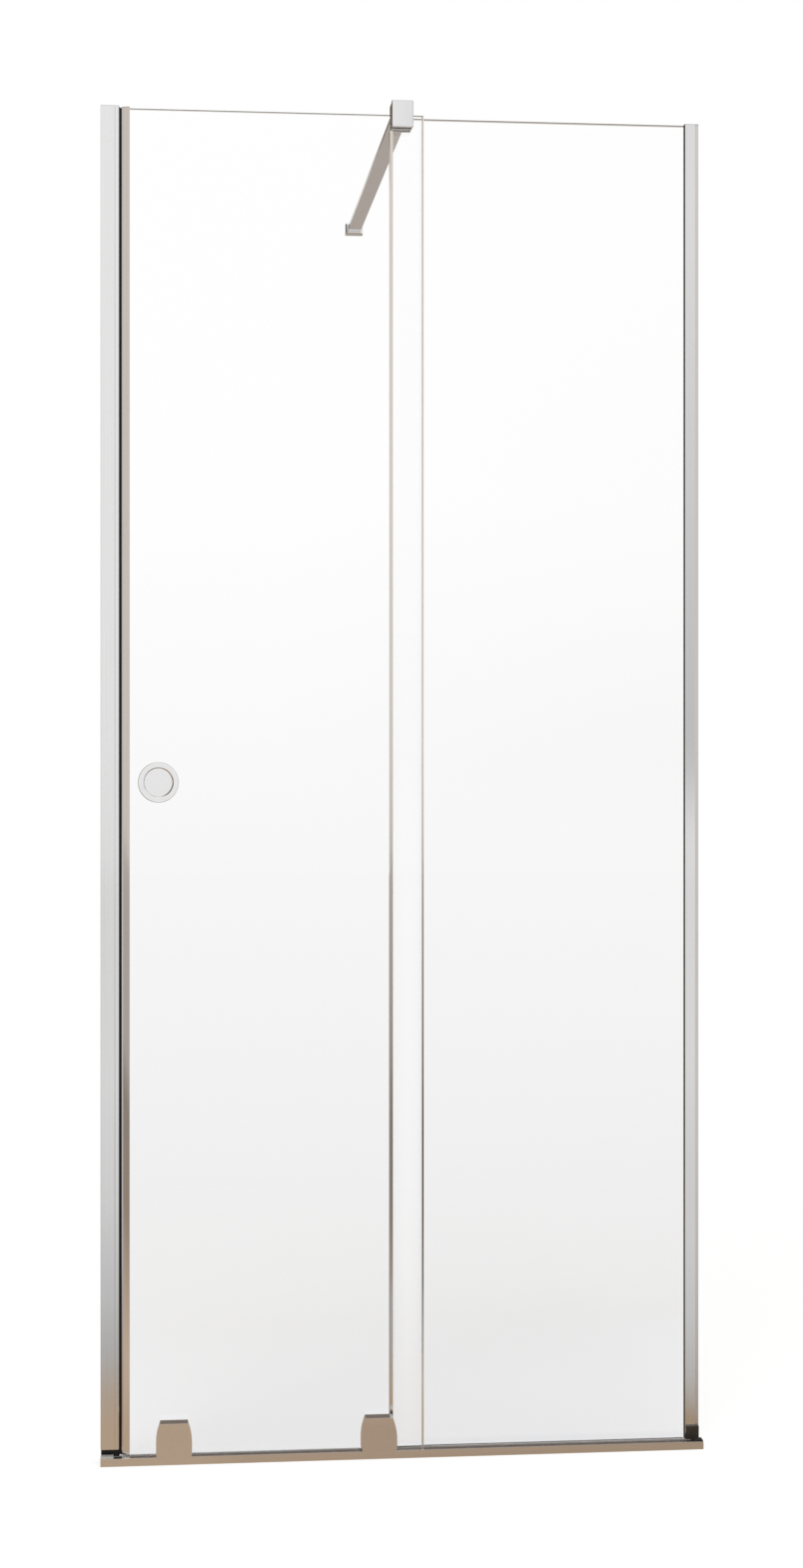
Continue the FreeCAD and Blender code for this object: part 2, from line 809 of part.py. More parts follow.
def bevel_pane(body):
    """Polished arris round both faces of a pane."""
    doc.recompute()
    shape = body.Tip.Shape
    names = []
    for number, edge in enumerate(shape.Edges, start=1):
        box = edge.BoundBox
        straight = edge.Curve.TypeId == "Part::GeomLine"
        if straight and box.YLength < 1e-4 and box.DiagonalLength > shape.BoundBox.XLength / 2:
            names.append(f"Edge{number}")
    dress(body, "Chamfer", "arris", names)


def fixed_glass():
    body = new_body("fixed_glass")
    outline = rectangle(("fixed_left", "rail_skin + glazing_seat"), ("fixed_right", "glass_top"))
    extrude(body, "XZ", outline, "fixed_front", "fixed_back")
    bevel_pane(body)
    return keep(body)


def fixed_edge_strip():
    """Slim strip on the fixed pane's free edge, with a slanting nose towards the sliding pane."""
    nose = "door_back + lip_clearance"
    inner = "strip_left + strip_web"
    outer = "strip_left + strip_width"
    back = "fixed_back + fit + strip_leg"
    return profile("fixed_edge_strip", "XY", [
        ("strip_left", f"{nose} + strip_slant"),
        (outer, nose),
        (outer, "fixed_front - fit"),
        (inner, "fixed_front - fit"),
        (inner, "fixed_back + fit"),
        (outer, "fixed_back + fit"),
        (outer, back),
        ("strip_left", back),
    ], "channel_height + strip_end_gap", "clamp_bottom - strip_end_gap")


def guide_clamp_body():
    """Clamp over both panes: a guide slot for the door, jaws for the fixed pane, a bar socket."""
    body = new_body("guide_clamp_body")
    section = extrude(body, "YZ", [
        ("clamp_body_front", "clamp_body_bottom"),
        ("guide_front", "clamp_body_bottom"),
        ("guide_front", "guide_top"),
        ("guide_back", "guide_top"),
        ("guide_back", "clamp_body_bottom"),
        ("jaw_front", "clamp_body_bottom"),
        ("jaw_front", "jaw_top"),
        ("jaw_back", "jaw_top"),
        ("jaw_back", "clamp_body_bottom"),
        ("clamp_back", "clamp_body_bottom"),
        ("clamp_back", "clamp_body_top"),
        ("clamp_body_front", "clamp_body_top"),
    ], "clamp_body_left", "clamp_body_right")
    cut_outline(body, "XZ", bar_outline("fit"), "bar_start", "clamp_back")
    cut_holes(body, "XZ", set_screw_places(), "set_screw / 2 + fit / 4", "jaw_back", "clamp_back")
    lock = [("clamp_middle", "clamp_back - bar_screw_inset")]
    cut_holes(body, "XY", lock, "bar_screw / 2 + fit / 4", "bar_top", "clamp_body_top")
    round_corners(body, section, 0, [10], "clamp_shell_corner")
    return keep(body)


def guide_clamp_cover():
    """Cap with rounded corners over the clamp's front."""
    body = new_body("guide_clamp_cover")
    outline = rectangle(("clamp_left", "clamp_bottom"), ("clamp_right", "clamp_top"))
    face = extrude(body, "XZ", outline, "clamp_front", "clamp_body_front")
    round_corners(body, face, 1, range(4), "clamp_shell_corner")
    round_front(body, "clamp_shell_nose")
    return keep(body)


def door_guide_insert():
    """Plastic lining of the clamp's front slot, open downwards for the door's top edge."""
    front = "guide_front + fit / 2"
    back = "guide_back - fit / 2"
    return profile("door_guide_insert", "YZ", [
        (front, "clamp_body_bottom"),
        (f"{front} + guide_wall", "clamp_body_bottom"),
        (f"{front} + guide_wall", "guide_top - guide_wall"),
        (f"{back} - guide_wall", "guide_top - guide_wall"),
        (f"{back} - guide_wall", "clamp_body_bottom"),
        (back, "clamp_body_bottom"),
        (back, "guide_top"),
        (front, "guide_top"),
    ], "clamp_body_left", "clamp_body_right")


def clamp_pads():
    """Rubber pads between the clamp's jaws and both faces of the fixed pane."""
    pads = []
    centre = "clamp_body_bottom + set_screw_height"
    outline = rectangle(("clamp_middle - pad_width / 2", f"{centre} - pad_height / 2"),
                        ("clamp_middle + pad_width / 2", f"{centre} + pad_height / 2"))
    for start, end in (("jaw_front", "fixed_front"), ("fixed_back", "jaw_back")):
        pad = new_body("clamp_pad")
        extrude(pad, "XZ", outline, start, end)
        pads.append(pad)
    return group("clamp_pads", pads)


def set_screw_places():
    height = "clamp_body_bottom + set_screw_height"
    return [(f"clamp_middle + {side} * set_screw_spacing / 2", height) for side in SIDES]


def grub_screw(label, plane, thread, length):
    """Headless screw with a socket in its outer end."""
    return turned(label, plane, [
        ("0", "0"),
        (f"{thread} / 2", "0"),
        (f"{thread} / 2", length),
        (f"{thread} / 4", length),
        (f"{thread} / 4", f"({length}) - {thread} / 2"),
        ("0", f"({length}) - {thread} / 2"),
    ])


def clamp_set_screws():
    """Two screws in the rear jaw that press the pads on the fixed pane."""
    screws = []
    for across, height in set_screw_places():
        screw = grub_screw("set_screw", "XY", "set_screw", "jaw_thickness - fit")
        place(screw, across, "jaw_back", height)
        screws.append(screw)
    return group("clamp_set_screws", screws)


def bar_outline(room):
    return rectangle((f"clamp_middle - bar_width / 2 - {room}", f"bar_bottom - {room}"),
                     (f"clamp_middle + bar_width / 2 + {room}", f"bar_top + {room}"))


def support_bar():
    """Flat bar from the clamp's socket to the wall flange's socket."""
    body = new_body("support_bar")
    section = extrude(body, "XZ", bar_outline("0"), "bar_start + fit", "bar_end")
    round_corners(body, section, 1, range(4), "bar_nose")
    return keep(body)


def bar_wall_flange():
    """Bevelled flange on the wall, with a socket for the bar and two screw holes in its floor."""
    body = new_body("bar_wall_flange")
    outline = rectangle(("clamp_middle - flange_width / 2", "flange_bottom"),
                        ("clamp_middle + flange_width / 2", "flange_bottom + flange_height"))
    extrude(body, "XZ", outline, "flange_front", "wall_plane")
    doc.recompute()
    dress(body, "Chamfer", "flange_bevel", edges_on_front(body.Tip.Shape))
    cut_outline(body, "XZ", bar_outline("fit"), "flange_front", "flange_seat")
    holes = [(f"clamp_middle + {side} * flange_hole_spacing / 2", "bar_middle") for side in SIDES]
    cut_holes(body, "XZ", holes, "flange_hole / 2", "flange_seat", "wall_plane")
    lock = [("clamp_middle", "flange_front + bar_screw_inset")]
    cut_holes(body, "XY", lock, "bar_screw / 2 + fit / 4", "flange_bottom", "bar_bottom")
    return keep(body)


def bar_lock_screws():
    """One screw down on the bar in the clamp, and one up on it in the wall flange."""
    upper = grub_screw("bar_lock_screw", "XZ", "bar_screw", "clamp_body_top - bar_top - fit")
    place(upper, "clamp_middle", "clamp_back - bar_screw_inset", "bar_top")
    lower = turned("bar_lock_screw", "XZ", [
        ("0", "-bar_screw / 2"),
        ("bar_screw / 4", "-bar_screw / 2"),
        ("bar_screw / 4", "flange_bottom + fit - bar_bottom"),
        ("bar_screw / 2", "flange_bottom + fit - bar_bottom"),
        ("bar_screw / 2", "0"),
        ("0", "0"),
    ])
    place(lower, "clamp_middle", "flange_front + bar_screw_inset", "bar_bottom")
    return group("bar_lock_screws", [upper, lower])


def plate_screw_places(carriage):
    middle = CARRIAGE_PLACES[carriage]
    return [f"{middle} + {side} * plate_screw_spacing / 2" for side in SIDES]


def door_glass():
    """Sliding pane, with a hole for the flush pull and two for each carriage."""
    body = new_body("door_glass")
    outline = rectangle(("door_glass_left", "door_bottom"), ("door_glass_right", "glass_top"))
    extrude(body, "XZ", outline, "door_front", "door_back")
    bevel_pane(body)
    pull = [("handle_place", "handle_height")]
    cut_holes(body, "XZ", pull, "handle_hole / 2", "door_front", "door_back")
    bolts = []
    for carriage in CARRIAGE_PLACES:
        bolts += [(across, "plate_screw_height") for across in plate_screw_places(carriage)]
    cut_holes(body, "XZ", bolts, "glass_bush / 2 + fit", "door_front", "door_back")
    return keep(body)


def closing_outline():
    """Outer outline of the closing profile: two facets that fall away to the seal."""
    return [
        ("door_start", "closing_face + closing_facet"),
        ("door_start + closing_width / 2", "closing_face + closing_ridge"),
        ("closing_end", "closing_face"),
        ("closing_end", "closing_rear"),
        ("door_start", "closing_rear"),
    ]


def door_closing_profile():
    """Profile on the sliding pane's leading edge, with a groove for the magnet seal."""
    low_corner, facet_edge, front_corner, rear_corner, rear_edge = closing_outline()
    half = "seal_mouth / 2"
    groove = "door_start + magnet_tongue + fit"
    return profile("door_closing_profile", "XY", [
        low_corner,
        facet_edge,
        front_corner,
        ("closing_end", "door_front - fit"),
        ("closing_slot", "door_front - fit"),
        ("closing_slot", "door_back + fit"),
        ("closing_end", "door_back + fit"),
        rear_corner,
        rear_edge,
        ("door_start", f"door_mid + {half}"),
        (groove, f"door_mid + {half}"),
        (groove, f"door_mid - {half}"),
        ("door_start", f"door_mid - {half}"),
    ], "track_height + closing_lift", "closing_top")


def closing_profile_cap():
    return profile("closing_profile_cap", "XY", closing_outline(), "closing_top", "closing_top + cap_thickness")


def door_magnet_seal():
    """Magnet strip that meets the strike seal's slant, held by a tongue in the closing profile."""
    head = "magnet_head / 2"
    front_slant = "seal_slant * (seal_head - magnet_head) / (2 * seal_head)"
    back_slant = "seal_slant * (seal_head + magnet_head) / (2 * seal_head)"
    tongue = "seal_mouth / 2 - fit"
    tip = "door_start + magnet_tongue"
    return profile("door_magnet_seal", "XY", [
        (f"magnet_start + {front_slant}", f"door_mid - ({head})"),
        ("door_start", f"door_mid - ({head})"),
        ("door_start", f"door_mid - ({tongue})"),
        (tip, f"door_mid - ({tongue})"),
        (tip, f"door_mid + ({tongue})"),
        ("door_start", f"door_mid + ({tongue})"),
        ("door_start", f"door_mid + ({head})"),
        (f"magnet_start + {back_slant}", f"door_mid + ({head})"),
    ], "track_height + closing_lift", "closing_top")


def door_trailing_strip():
    """Slim strip clipped on the sliding pane's rear edge, its front face turned a little inwards."""
    inner = "door_end - trailing_web"
    outer = "door_end - trailing_width"
    front = "door_front - fit"
    back = "door_back + fit"
    return profile("door_trailing_strip", "XY", [
        (outer, f"{front} - trailing_leg + trailing_slant"),
        ("door_end", f"{front} - trailing_leg"),
        ("door_end", f"{back} + trailing_leg"),
        (outer, f"{back} + trailing_leg"),
        (outer, back),
        (inner, back),
        (inner, front),
        (outer, front),
    ], "track_height + closing_lift", "glass_top")


def door_drip_seal():
    """Clip on the sliding pane's lower edge, with a fin down to the trough."""
    front = "door_front - fit"
    back = "door_back + fit"
    top = "door_bottom + drip_rise"
    seat = "door_bottom"
    under = "door_bottom - drip_web"
    tip = "rail_skin + drip_gap"
    return profile("door_drip_seal", "YZ", [
        (f"{front} - drip_leg", under),
        ("door_mid - drip_fin / 2", under),
        ("door_mid - drip_fin / 2", tip),
        ("door_mid + drip_fin / 2", tip),
        ("door_mid + drip_fin / 2", under),
        (f"{back} + drip_leg", under),
        (f"{back} + drip_leg", top),
        (back, top),
        (back, seat),
        (front, seat),
        (front, top),
        (f"{front} - drip_leg", top),
    ], "door_glass_left + drip_inset", "door_glass_right - drip_inset")


def seat_on_handle(piece):
    place(piece, "handle_place", "door_front", "handle_height")


def handle_front_cup():
    """Front half of the flush pull: a flange, a finger recess and a barrel through the glass."""
    recess = "handle_recess / 2"
    rim = "handle_flange / 2"
    barrel = "handle_barrel / 2"
    face = "-handle_washer - handle_flange_thickness"
    cup = turned("handle_front_cup", "XY", [
        ("0", "handle_floor_front"),
        (recess, "handle_floor_front"),
        (recess, f"{face} + handle_mouth_depth"),
        (f"{recess} + handle_mouth_width", face),
        (f"{rim} - handle_bevel", face),
        (rim, f"{face} + handle_bevel"),
        (rim, "-handle_washer"),
        (barrel, "-handle_washer"),
        (barrel, "handle_barrel_end"),
        (recess, "handle_barrel_end"),
        (recess, "handle_floor_back"),
        ("0", "handle_floor_back"),
    ])
    seat_on_handle(cup)
    return keep(cup)


def handle_rear_cup():
    """Rear half of the flush pull: a boss that screws into the front barrel."""
    recess = "handle_rear_recess / 2"
    rim = "handle_flange / 2"
    boss = "handle_recess / 2 - handle_thread_gap"
    seat = "glass_thickness + handle_washer"
    floor = "handle_rear_seat + handle_floor"
    cup = turned("handle_rear_cup", "XY", [
        ("0", "handle_rear_seat"),
        (boss, "handle_rear_seat"),
        (boss, seat),
        (rim, seat),
        (rim, "handle_rear - handle_bevel"),
        (f"{rim} - handle_bevel", "handle_rear"),
        (f"{recess} + handle_mouth_width", "handle_rear"),
        (recess, "handle_rear - handle_mouth_depth"),
        (recess, floor),
        ("0", floor),
    ])
    seat_on_handle(cup)
    return keep(cup)


def handle_washers():
    """Soft washers between the flush pull's flanges and the glass."""
    inner = "handle_hole / 2"
    outer = "handle_flange / 2 - handle_bevel"
    front = ring("handle_washer", inner, outer, "-handle_washer", "0")
    rear = ring("handle_washer", inner, outer, "glass_thickness", "glass_thickness + handle_washer")
    for washer in (front, rear):
        seat_on_handle(washer)
    return group("handle_washers", [front, rear])


def handle_sleeve():
    """Plastic sleeve between the flush pull's barrel and the hole in the glass."""
    sleeve = ring("handle_sleeve", "handle_barrel / 2 + fit", "handle_hole / 2 - fit", "fit", "handle_barrel_end")
    seat_on_handle(sleeve)
    return keep(sleeve)


def carriage_outline(inset, low, high):
    """Front outline of a carriage: upright sides, sloping shoulders and a narrower top."""
    side = f"carriage_width / 2 - ({inset})"
    top = f"carriage_top_width / 2 - ({inset})"
    return [
        (f"-({side})", low),
        (side, low),
        (side, "carriage_shoulder"),
        (top, high),
        (f"-({top})", high),
        (f"-({side})", "carriage_shoulder"),
    ]


def carriage_cover(carriage):
    """Polished shell over the rollers, whose front wall laps the rail's front edge."""
    body = new_body("carriage_cover_" + carriage)
    outline = carriage_outline("0", "carriage_bottom", "carriage_top")
    face = extrude(body, "XZ", outline, "carriage_front", "carriage_back")
    round_corners(body, face, 1, [2, 5], "carriage_shoulder_round")
    round_corners(body, face, 1, [0, 1], "carriage_corner")
    round_front(body, "carriage_nose")
    hollow = carriage_outline("carriage_shell", "0", "carriage_top - carriage_shell")
    cut_outline(body, "XZ", hollow, "carriage_inside", "carriage_back")
    notch = rectangle(("-carriage_width", "0"), ("carriage_width", "carriage_body_bottom"))
    cut_outline(body, "XZ", notch, "rail_front - carriage_lift", "carriage_back")
    place(body, CARRIAGE_PLACES[carriage])
    return keep(body)


def carriage_body(carriage):
    """Yoke that carries two rollers between its cheeks and bolts to the glass."""
    body = new_body("carriage_body_" + carriage)
    inset = "carriage_shell + carriage_slack"
    outline = carriage_outline(inset, "carriage_body_bottom", "carriage_body_top")
    front = "carriage_inside + carriage_slack"
    extrude(body, "XZ", outline, front, "carriage_back")
    half = "roller_width / 2 + roller_room"
    gap = rectangle(("-carriage_width", "0"), ("carriage_width", "roller_pocket_top"))
    cut_outline(body, "XZ", gap, f"roller_plane - ({half})", f"roller_plane + {half}")
    axles = [(f"{side} * roller_spacing / 2", "axle_height") for side in SIDES]
    cut_holes(body, "XZ", axles, "axle_diameter / 2 + axle_clearance", front, "carriage_back")
    screws = [(f"{side} * plate_screw_spacing / 2", "plate_screw_height") for side in SIDES]
    start = "carriage_back - plate_screw_grip - fit"
    cut_holes(body, "XZ", screws, "plate_screw / 2 + axle_clearance", start, "carriage_back")
    place(body, CARRIAGE_PLACES[carriage])
    return keep(body)


def roller_axles(carriage):
    """Two pins held in the carriage's cheeks."""
    pins = []
    start = "carriage_inside + carriage_slack + fit"
    end = "carriage_back - fit"
    for side in SIDES:
        pin = turned("axle", "XY", rectangle(("0", start), ("axle_diameter / 2", end)))
        place(pin, f"{CARRIAGE_PLACES[carriage]} + {side} * roller_spacing / 2", z="axle_height")
        pins.append(pin)
    return group("roller_axles_" + carriage, pins)


def carriage_back_plate(carriage):
    """Rounded plate behind the glass, counterbored for two screws."""
    body = new_body("carriage_back_plate_" + carriage)
    outline = rectangle(("-plate_width / 2", "plate_screw_height - plate_height / 2"),
                        ("plate_width / 2", "plate_screw_height + plate_height / 2"))
    face = extrude(body, "XZ", outline, "plate_front", "plate_back")
    round_corners(body, face, 1, range(4), "plate_corner")
    screws = [(f"{side} * plate_screw_spacing / 2", "plate_screw_height") for side in SIDES]
    cut_holes(body, "XZ", screws, "plate_bore", "plate_front", "plate_back")
    seat = "screw_head_back - plate_screw_head_height"
    cut_holes(body, "XZ", screws, "plate_screw_head / 2 + fit", seat, "plate_back")
    place(body, CARRIAGE_PLACES[carriage])
    return keep(body)


def carriage_screws():
    """Low head screws from the back plates through the glass into the carriage bodies."""
    screws = []
    tip = "carriage_back - plate_screw_grip"
    seat = "screw_head_back - plate_screw_head_height"
    for carriage in CARRIAGE_PLACES:
        for across in plate_screw_places(carriage):
            screw = turned("carriage_screw", "XY", [
                ("0", tip),
                ("plate_screw / 2", tip),
                ("plate_screw / 2", seat),
                ("plate_screw_head / 2", seat),
                ("plate_screw_head / 2", "screw_head_back"),
                ("plate_screw / 4", "screw_head_back"),
                ("plate_screw / 4", f"{seat} + fit"),
                ("0", f"{seat} + fit"),
            ])
            place(screw, across, z="plate_screw_height")
            screws.append(screw)
    return group("carriage_screws", screws)


def carriage_bushes():
    """Plastic bushes that keep the screws off the glass."""
    bushes = []
    for carriage in CARRIAGE_PLACES:
        for across in plate_screw_places(carriage):
            bush = ring("carriage_bush", "plate_bore", "glass_bush / 2", "door_front + fit", "door_back - fit")
            place(bush, across, z="plate_screw_height")
            bushes.append(bush)
    return group("carriage_bushes", bushes)


def carriage_gaskets():
    """Clear gaskets on both faces of the glass, one pair for each carriage."""
    gaskets = []
    layers = (("carriage_back", "door_front"), ("door_back", "plate_front"))
    half = "plate_height / 2 - plate_gasket"
    outline = rectangle(("-carriage_top_width / 2 + carriage_shell", f"plate_screw_height - ({half})"),
                        ("carriage_top_width / 2 - carriage_shell", f"plate_screw_height + {half}"))
    screws = [(f"{side} * plate_screw_spacing / 2", "plate_screw_height") for side in SIDES]
    for middle in CARRIAGE_PLACES.values():
        for start, end in layers:
            gasket = new_body("carriage_gasket")
            extrude(gasket, "XZ", outline, start, end)
            cut_holes(gasket, "XZ", screws, "plate_bore", start, end)
            place(gasket, middle)
            gaskets.append(gasket)
    return group("carriage_gaskets", gaskets)


def roller(carriage, end, side):
    """One roller: a plastic tyre on a steel hub that turns on its axle."""
    name = f"{carriage}_{end}"
    radius = "roller_diameter / 2"
    half = "roller_width / 2"
    inner = "hub_diameter / 2"
    tyre = turned("roller_tyre_" + name, "XY", [
        (inner, f"-{half}"),
        (f"{radius} - roller_round", f"-{half}"),
        (radius, f"-({half} - roller_round)"),
        (radius, f"{half} - roller_round"),
        (f"{radius} - roller_round", half),
        (inner, half),
    ])
    hub = ring("roller_hub_" + name, "axle_diameter / 2 + axle_clearance", f"{inner} - axle_clearance",
               f"-({half} + hub_lip)", f"{half} + hub_lip")
    for piece in (tyre, hub):
        place(piece, f"{CARRIAGE_PLACES[carriage]} + {side} * roller_spacing / 2", "roller_plane", "axle_height")
        keep(piece)


def build_frame():
    bottom_rail()
    rail_stop("rail_stop_left", "left_wall + end_gap", "left_wall + left_stop_length")
    rail_stop("rail_stop_right", "right_wall - right_stop_length", "right_wall - end_gap")
    left_strike_profile()
    wall_channel("left_wall_channel", "left_wall", "strike_channel_reach",
                 "left_channel_front", "left_channel_back", "strike_foot", 1)
    strike_seal()
    left_profile_foot()
    left_top_cap()
    right_glazing_profile()
    wall_channel("right_wall_channel", "right_wall", "glazing_channel_reach",
                 "right_channel_front", "right_channel_back", "channel_height", -1)
    right_top_cap()
    right_profile_foot()
    profile_lock_screws()
    glazing_gasket()
    bottom_glazing_gasket()
    fixed_glass()
    fixed_edge_strip()
    guide_clamp_body()
    guide_clamp_cover()
    door_guide_insert()
    clamp_pads()
    clamp_set_screws()
    support_bar()
    bar_wall_flange()
    bar_lock_screws()


def build_door():
    door_glass()
    door_closing_profile()
    closing_profile_cap()
    door_magnet_seal()
    door_trailing_strip()
    door_drip_seal()
    handle_front_cup()
    handle_rear_cup()
    handle_washers()
    handle_sleeve()
    for carriage in CARRIAGE_PLACES:
        carriage_cover(carriage)
        carriage_body(carriage)
        carriage_back_plate(carriage)
        roller_axles(carriage)
        for end, side in (("front", -1), ("rear", 1)):
            roller(carriage, end, side)
    carriage_screws()
    carriage_bushes()
    carriage_gaskets()


def check_model():
    """Stop if an object failed, a cut removed nothing, or a shape is empty or broken."""
    for item in doc.Objects:
        if "Invalid" in item.State or "Error" in item.State:
            raise RuntimeError(f"{item.Label} failed: {item.State}")
        if item.TypeId == "PartDesign::Pocket" and item.BaseFeature is not None:
            if item.Shape.Volume > item.BaseFeature.Shape.Volume - 1e-6:
                raise RuntimeError(f"{item.Label} cuts nothing")
    for piece in subparts:
        if piece.Shape.isNull() or not piece.Shape.isValid():
            raise RuntimeError(f"{piece.Label} has no sound shape")


build_frame()
build_door()
doc.recompute()
check_model()
os.makedirs("parts", exist_ok=True)
for piece in subparts:
    piece.Shape.exportStep(f"parts/{piece.Label}.step")
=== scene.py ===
import bmesh
import bpy
import json
import math
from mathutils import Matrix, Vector


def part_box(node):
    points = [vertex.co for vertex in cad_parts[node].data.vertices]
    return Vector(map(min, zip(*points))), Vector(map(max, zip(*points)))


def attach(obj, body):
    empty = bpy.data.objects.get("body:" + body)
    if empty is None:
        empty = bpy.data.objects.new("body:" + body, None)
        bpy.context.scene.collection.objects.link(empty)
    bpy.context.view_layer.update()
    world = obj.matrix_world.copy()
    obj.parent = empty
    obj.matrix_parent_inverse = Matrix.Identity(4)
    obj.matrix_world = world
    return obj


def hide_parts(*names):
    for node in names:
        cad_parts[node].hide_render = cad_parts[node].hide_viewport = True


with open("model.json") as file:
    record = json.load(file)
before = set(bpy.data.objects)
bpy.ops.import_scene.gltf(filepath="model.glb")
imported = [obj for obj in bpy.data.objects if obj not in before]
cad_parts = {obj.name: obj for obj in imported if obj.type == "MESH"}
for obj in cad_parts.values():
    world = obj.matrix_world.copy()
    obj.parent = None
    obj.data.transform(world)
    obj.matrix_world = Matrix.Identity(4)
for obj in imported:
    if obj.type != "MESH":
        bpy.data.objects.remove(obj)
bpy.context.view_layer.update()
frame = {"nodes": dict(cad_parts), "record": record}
scene = bpy.context.scene
nodes = frame["nodes"]
node_slots = {part["node"]: part["material_slot"] for part in frame["record"]["subparts"]}
node_bodies = {name: body for body, names in frame["record"]["behaviour"]["bodies"].items() for name in names}

MM = 0.001
WHITE = (1.0, 1.0, 1.0)
BLACK = (0.0, 0.0, 0.0)
NUMBER = "NodeSocketFloat"
SCALES = "NodeSocketVector"


# Shader helpers

def grey(level):
    return (level, level, level)


def add_node(tree, kind, **values):
    """A new shader node with inputs set by name, an underscore standing for a space."""
    node = tree.nodes.new(kind)
    for name, value in values.items():
        node.inputs[name.replace("_", " ")].default_value = value
    return node


def join(tree, source, target):
    tree.links.new(source, target)


def object_place(tree):
    return tree.nodes.new("ShaderNodeTexCoord").outputs["Object"]


def split_axes(tree, place):
    """The X, Y and Z of a place or a direction."""
    parts = tree.nodes.new("ShaderNodeSeparateXYZ")
    join(tree, place, parts.inputs["Vector"])
    return [parts.outputs[axis] for axis in "XYZ"]


def noise_at(tree, place, **values):
    noise = add_node(tree, "ShaderNodeTexNoise", **values)
    join(tree, place, noise.inputs["Vector"])
    return noise


def scaled_range(tree, value, span, low=0.0, high=1.0):
    """Carries a value from a span over to the span low to high, held at both ends."""
    start, end = span
    node = add_node(tree, "ShaderNodeMapRange", From_Min=start, From_Max=end, To_Min=low, To_Max=high)
    join(tree, value, node.inputs["Value"])
    return node.outputs["Result"]


def sums(tree, operation, first, second):
    """The result of a sum on two values, either of which may be a socket or a number."""
    node = tree.nodes.new("ShaderNodeMath")
    node.operation = operation
    for socket, value in zip(node.inputs, (first, second)):
        if isinstance(value, (int, float)):
            socket.default_value = value
        else:
            join(tree, value, socket)
    return node.outputs["Value"]


def product(tree, *masks):
    result = masks[0]
    for mask in masks[1:]:
        result = sums(tree, "MULTIPLY", result, mask)
    return result


def shade_along(tree, mask, *stops):
    """A colour that follows a mask through stops, each a place from nought to one and a colour."""
    ramp = tree.nodes.new("ShaderNodeValToRGB")
    elements = ramp.color_ramp.elements
    while len(elements) < len(stops):
        elements.new(1.0)
    for element, (place, colour) in zip(elements, stops):
        element.position = place
        element.color = (*colour, 1.0)
    join(tree, mask, ramp.inputs["Fac"])
    return ramp.outputs["Color"]


def shade_between(tree, mask, colour_at_zero, colour_at_one):
    return shade_along(tree, mask, (0.0, colour_at_zero), (1.0, colour_at_one))


def mix_colours(tree, factor, first, second):
    """A mix of two colours, either of which may be a socket or a fixed colour."""
    mix = tree.nodes.new("ShaderNodeMix")
    mix.data_type = "RGBA"
    factor_socket, first_socket, second_socket = mix.inputs[0], mix.inputs[6], mix.inputs[7]
    join(tree, factor, factor_socket)
    for socket, colour in ((first_socket, first), (second_socket, second)):
        if isinstance(colour, tuple):
            socket.default_value = (*colour, 1.0)
        else:
            join(tree, colour, socket)
    return mix.outputs[2]


def start_group(name, inputs, outputs):
    """An empty node group with its named sockets, and its inner input and output nodes."""
    group = bpy.data.node_groups.new(name, "ShaderNodeTree")
    for label, kind in inputs.items():
        group.interface.new_socket(label, in_out="INPUT", socket_type=kind)
    for label in outputs:
        group.interface.new_socket(label, in_out="OUTPUT", socket_type=NUMBER)
    return group, group.nodes.new("NodeGroupInput"), group.nodes.new("NodeGroupOutput")


def place_group(tree, group, **values):
    """The outputs of a node group placed in a material with its own values."""
    node = tree.nodes.new("ShaderNodeGroup")
    node.node_tree = group
    for name, value in values.items():
        node.inputs[name.replace("_", " ")].default_value = value
    return node.outputs


# Effects that several finishes share

RING_OUTSIDE = (0.34, 0.26)
RING_INSIDE = (0.24, 0.12)
RING_HOLLOW = 0.7
MARKED_PATCHES = (0.45, 0.7)
RUN_STRETCH = (55.0, 1.0, 1.6)


def make_water_marks():
    """Faint rings where drops have dried, gathered in patches."""
    group, given, result = start_group("water_marks", {"Drops per metre": NUMBER}, ["Marks"])
    place = object_place(group)
    drops = add_node(group, "ShaderNodeTexVoronoi", Randomness=1.0)
    join(group, place, drops.inputs["Vector"])
    join(group, given.outputs["Drops per metre"], drops.inputs["Scale"])
    patches = noise_at(group, place, Scale=7.0, Detail=3.0)
    outer = scaled_range(group, drops.outputs["Distance"], RING_OUTSIDE)
    inner = scaled_range(group, drops.outputs["Distance"], RING_INSIDE, high=RING_HOLLOW)
    ring = sums(group, "SUBTRACT", outer, inner)
    patch = scaled_range(group, patches.outputs["Fac"], MARKED_PATCHES)
    join(group, product(group, ring, patch), result.inputs["Marks"])
    return group


def make_drawn_lines():
    """Fine streaks that a drawing die or a polishing wheel leaves along a length."""
    group, given, result = start_group("drawn_lines", {"Stretch": SCALES}, ["Lines"])
    mapping = group.nodes.new("ShaderNodeMapping")
    join(group, object_place(group), mapping.inputs["Vector"])
    join(group, given.outputs["Stretch"], mapping.inputs["Scale"])
    streaks = noise_at(group, mapping.outputs["Vector"], Scale=1.0, Detail=4.0)
    join(group, streaks.outputs["Fac"], result.inputs["Lines"])
    return group


def make_moulded_skin():
    """The fine grain and faint clouding of a moulded plastic or rubber surface."""
    group, given, result = start_group("moulded_skin", {"Grains per metre": NUMBER}, ["Grain", "Clouds"])
    place = object_place(group)
    grain = noise_at(group, place, Detail=3.0)
    join(group, given.outputs["Grains per metre"], grain.inputs["Scale"])
    clouds = noise_at(group, place, Scale=24.0, Detail=4.0)
    join(group, grain.outputs["Fac"], result.inputs["Grain"])
    join(group, clouds.outputs["Fac"], result.inputs["Clouds"])
    return group


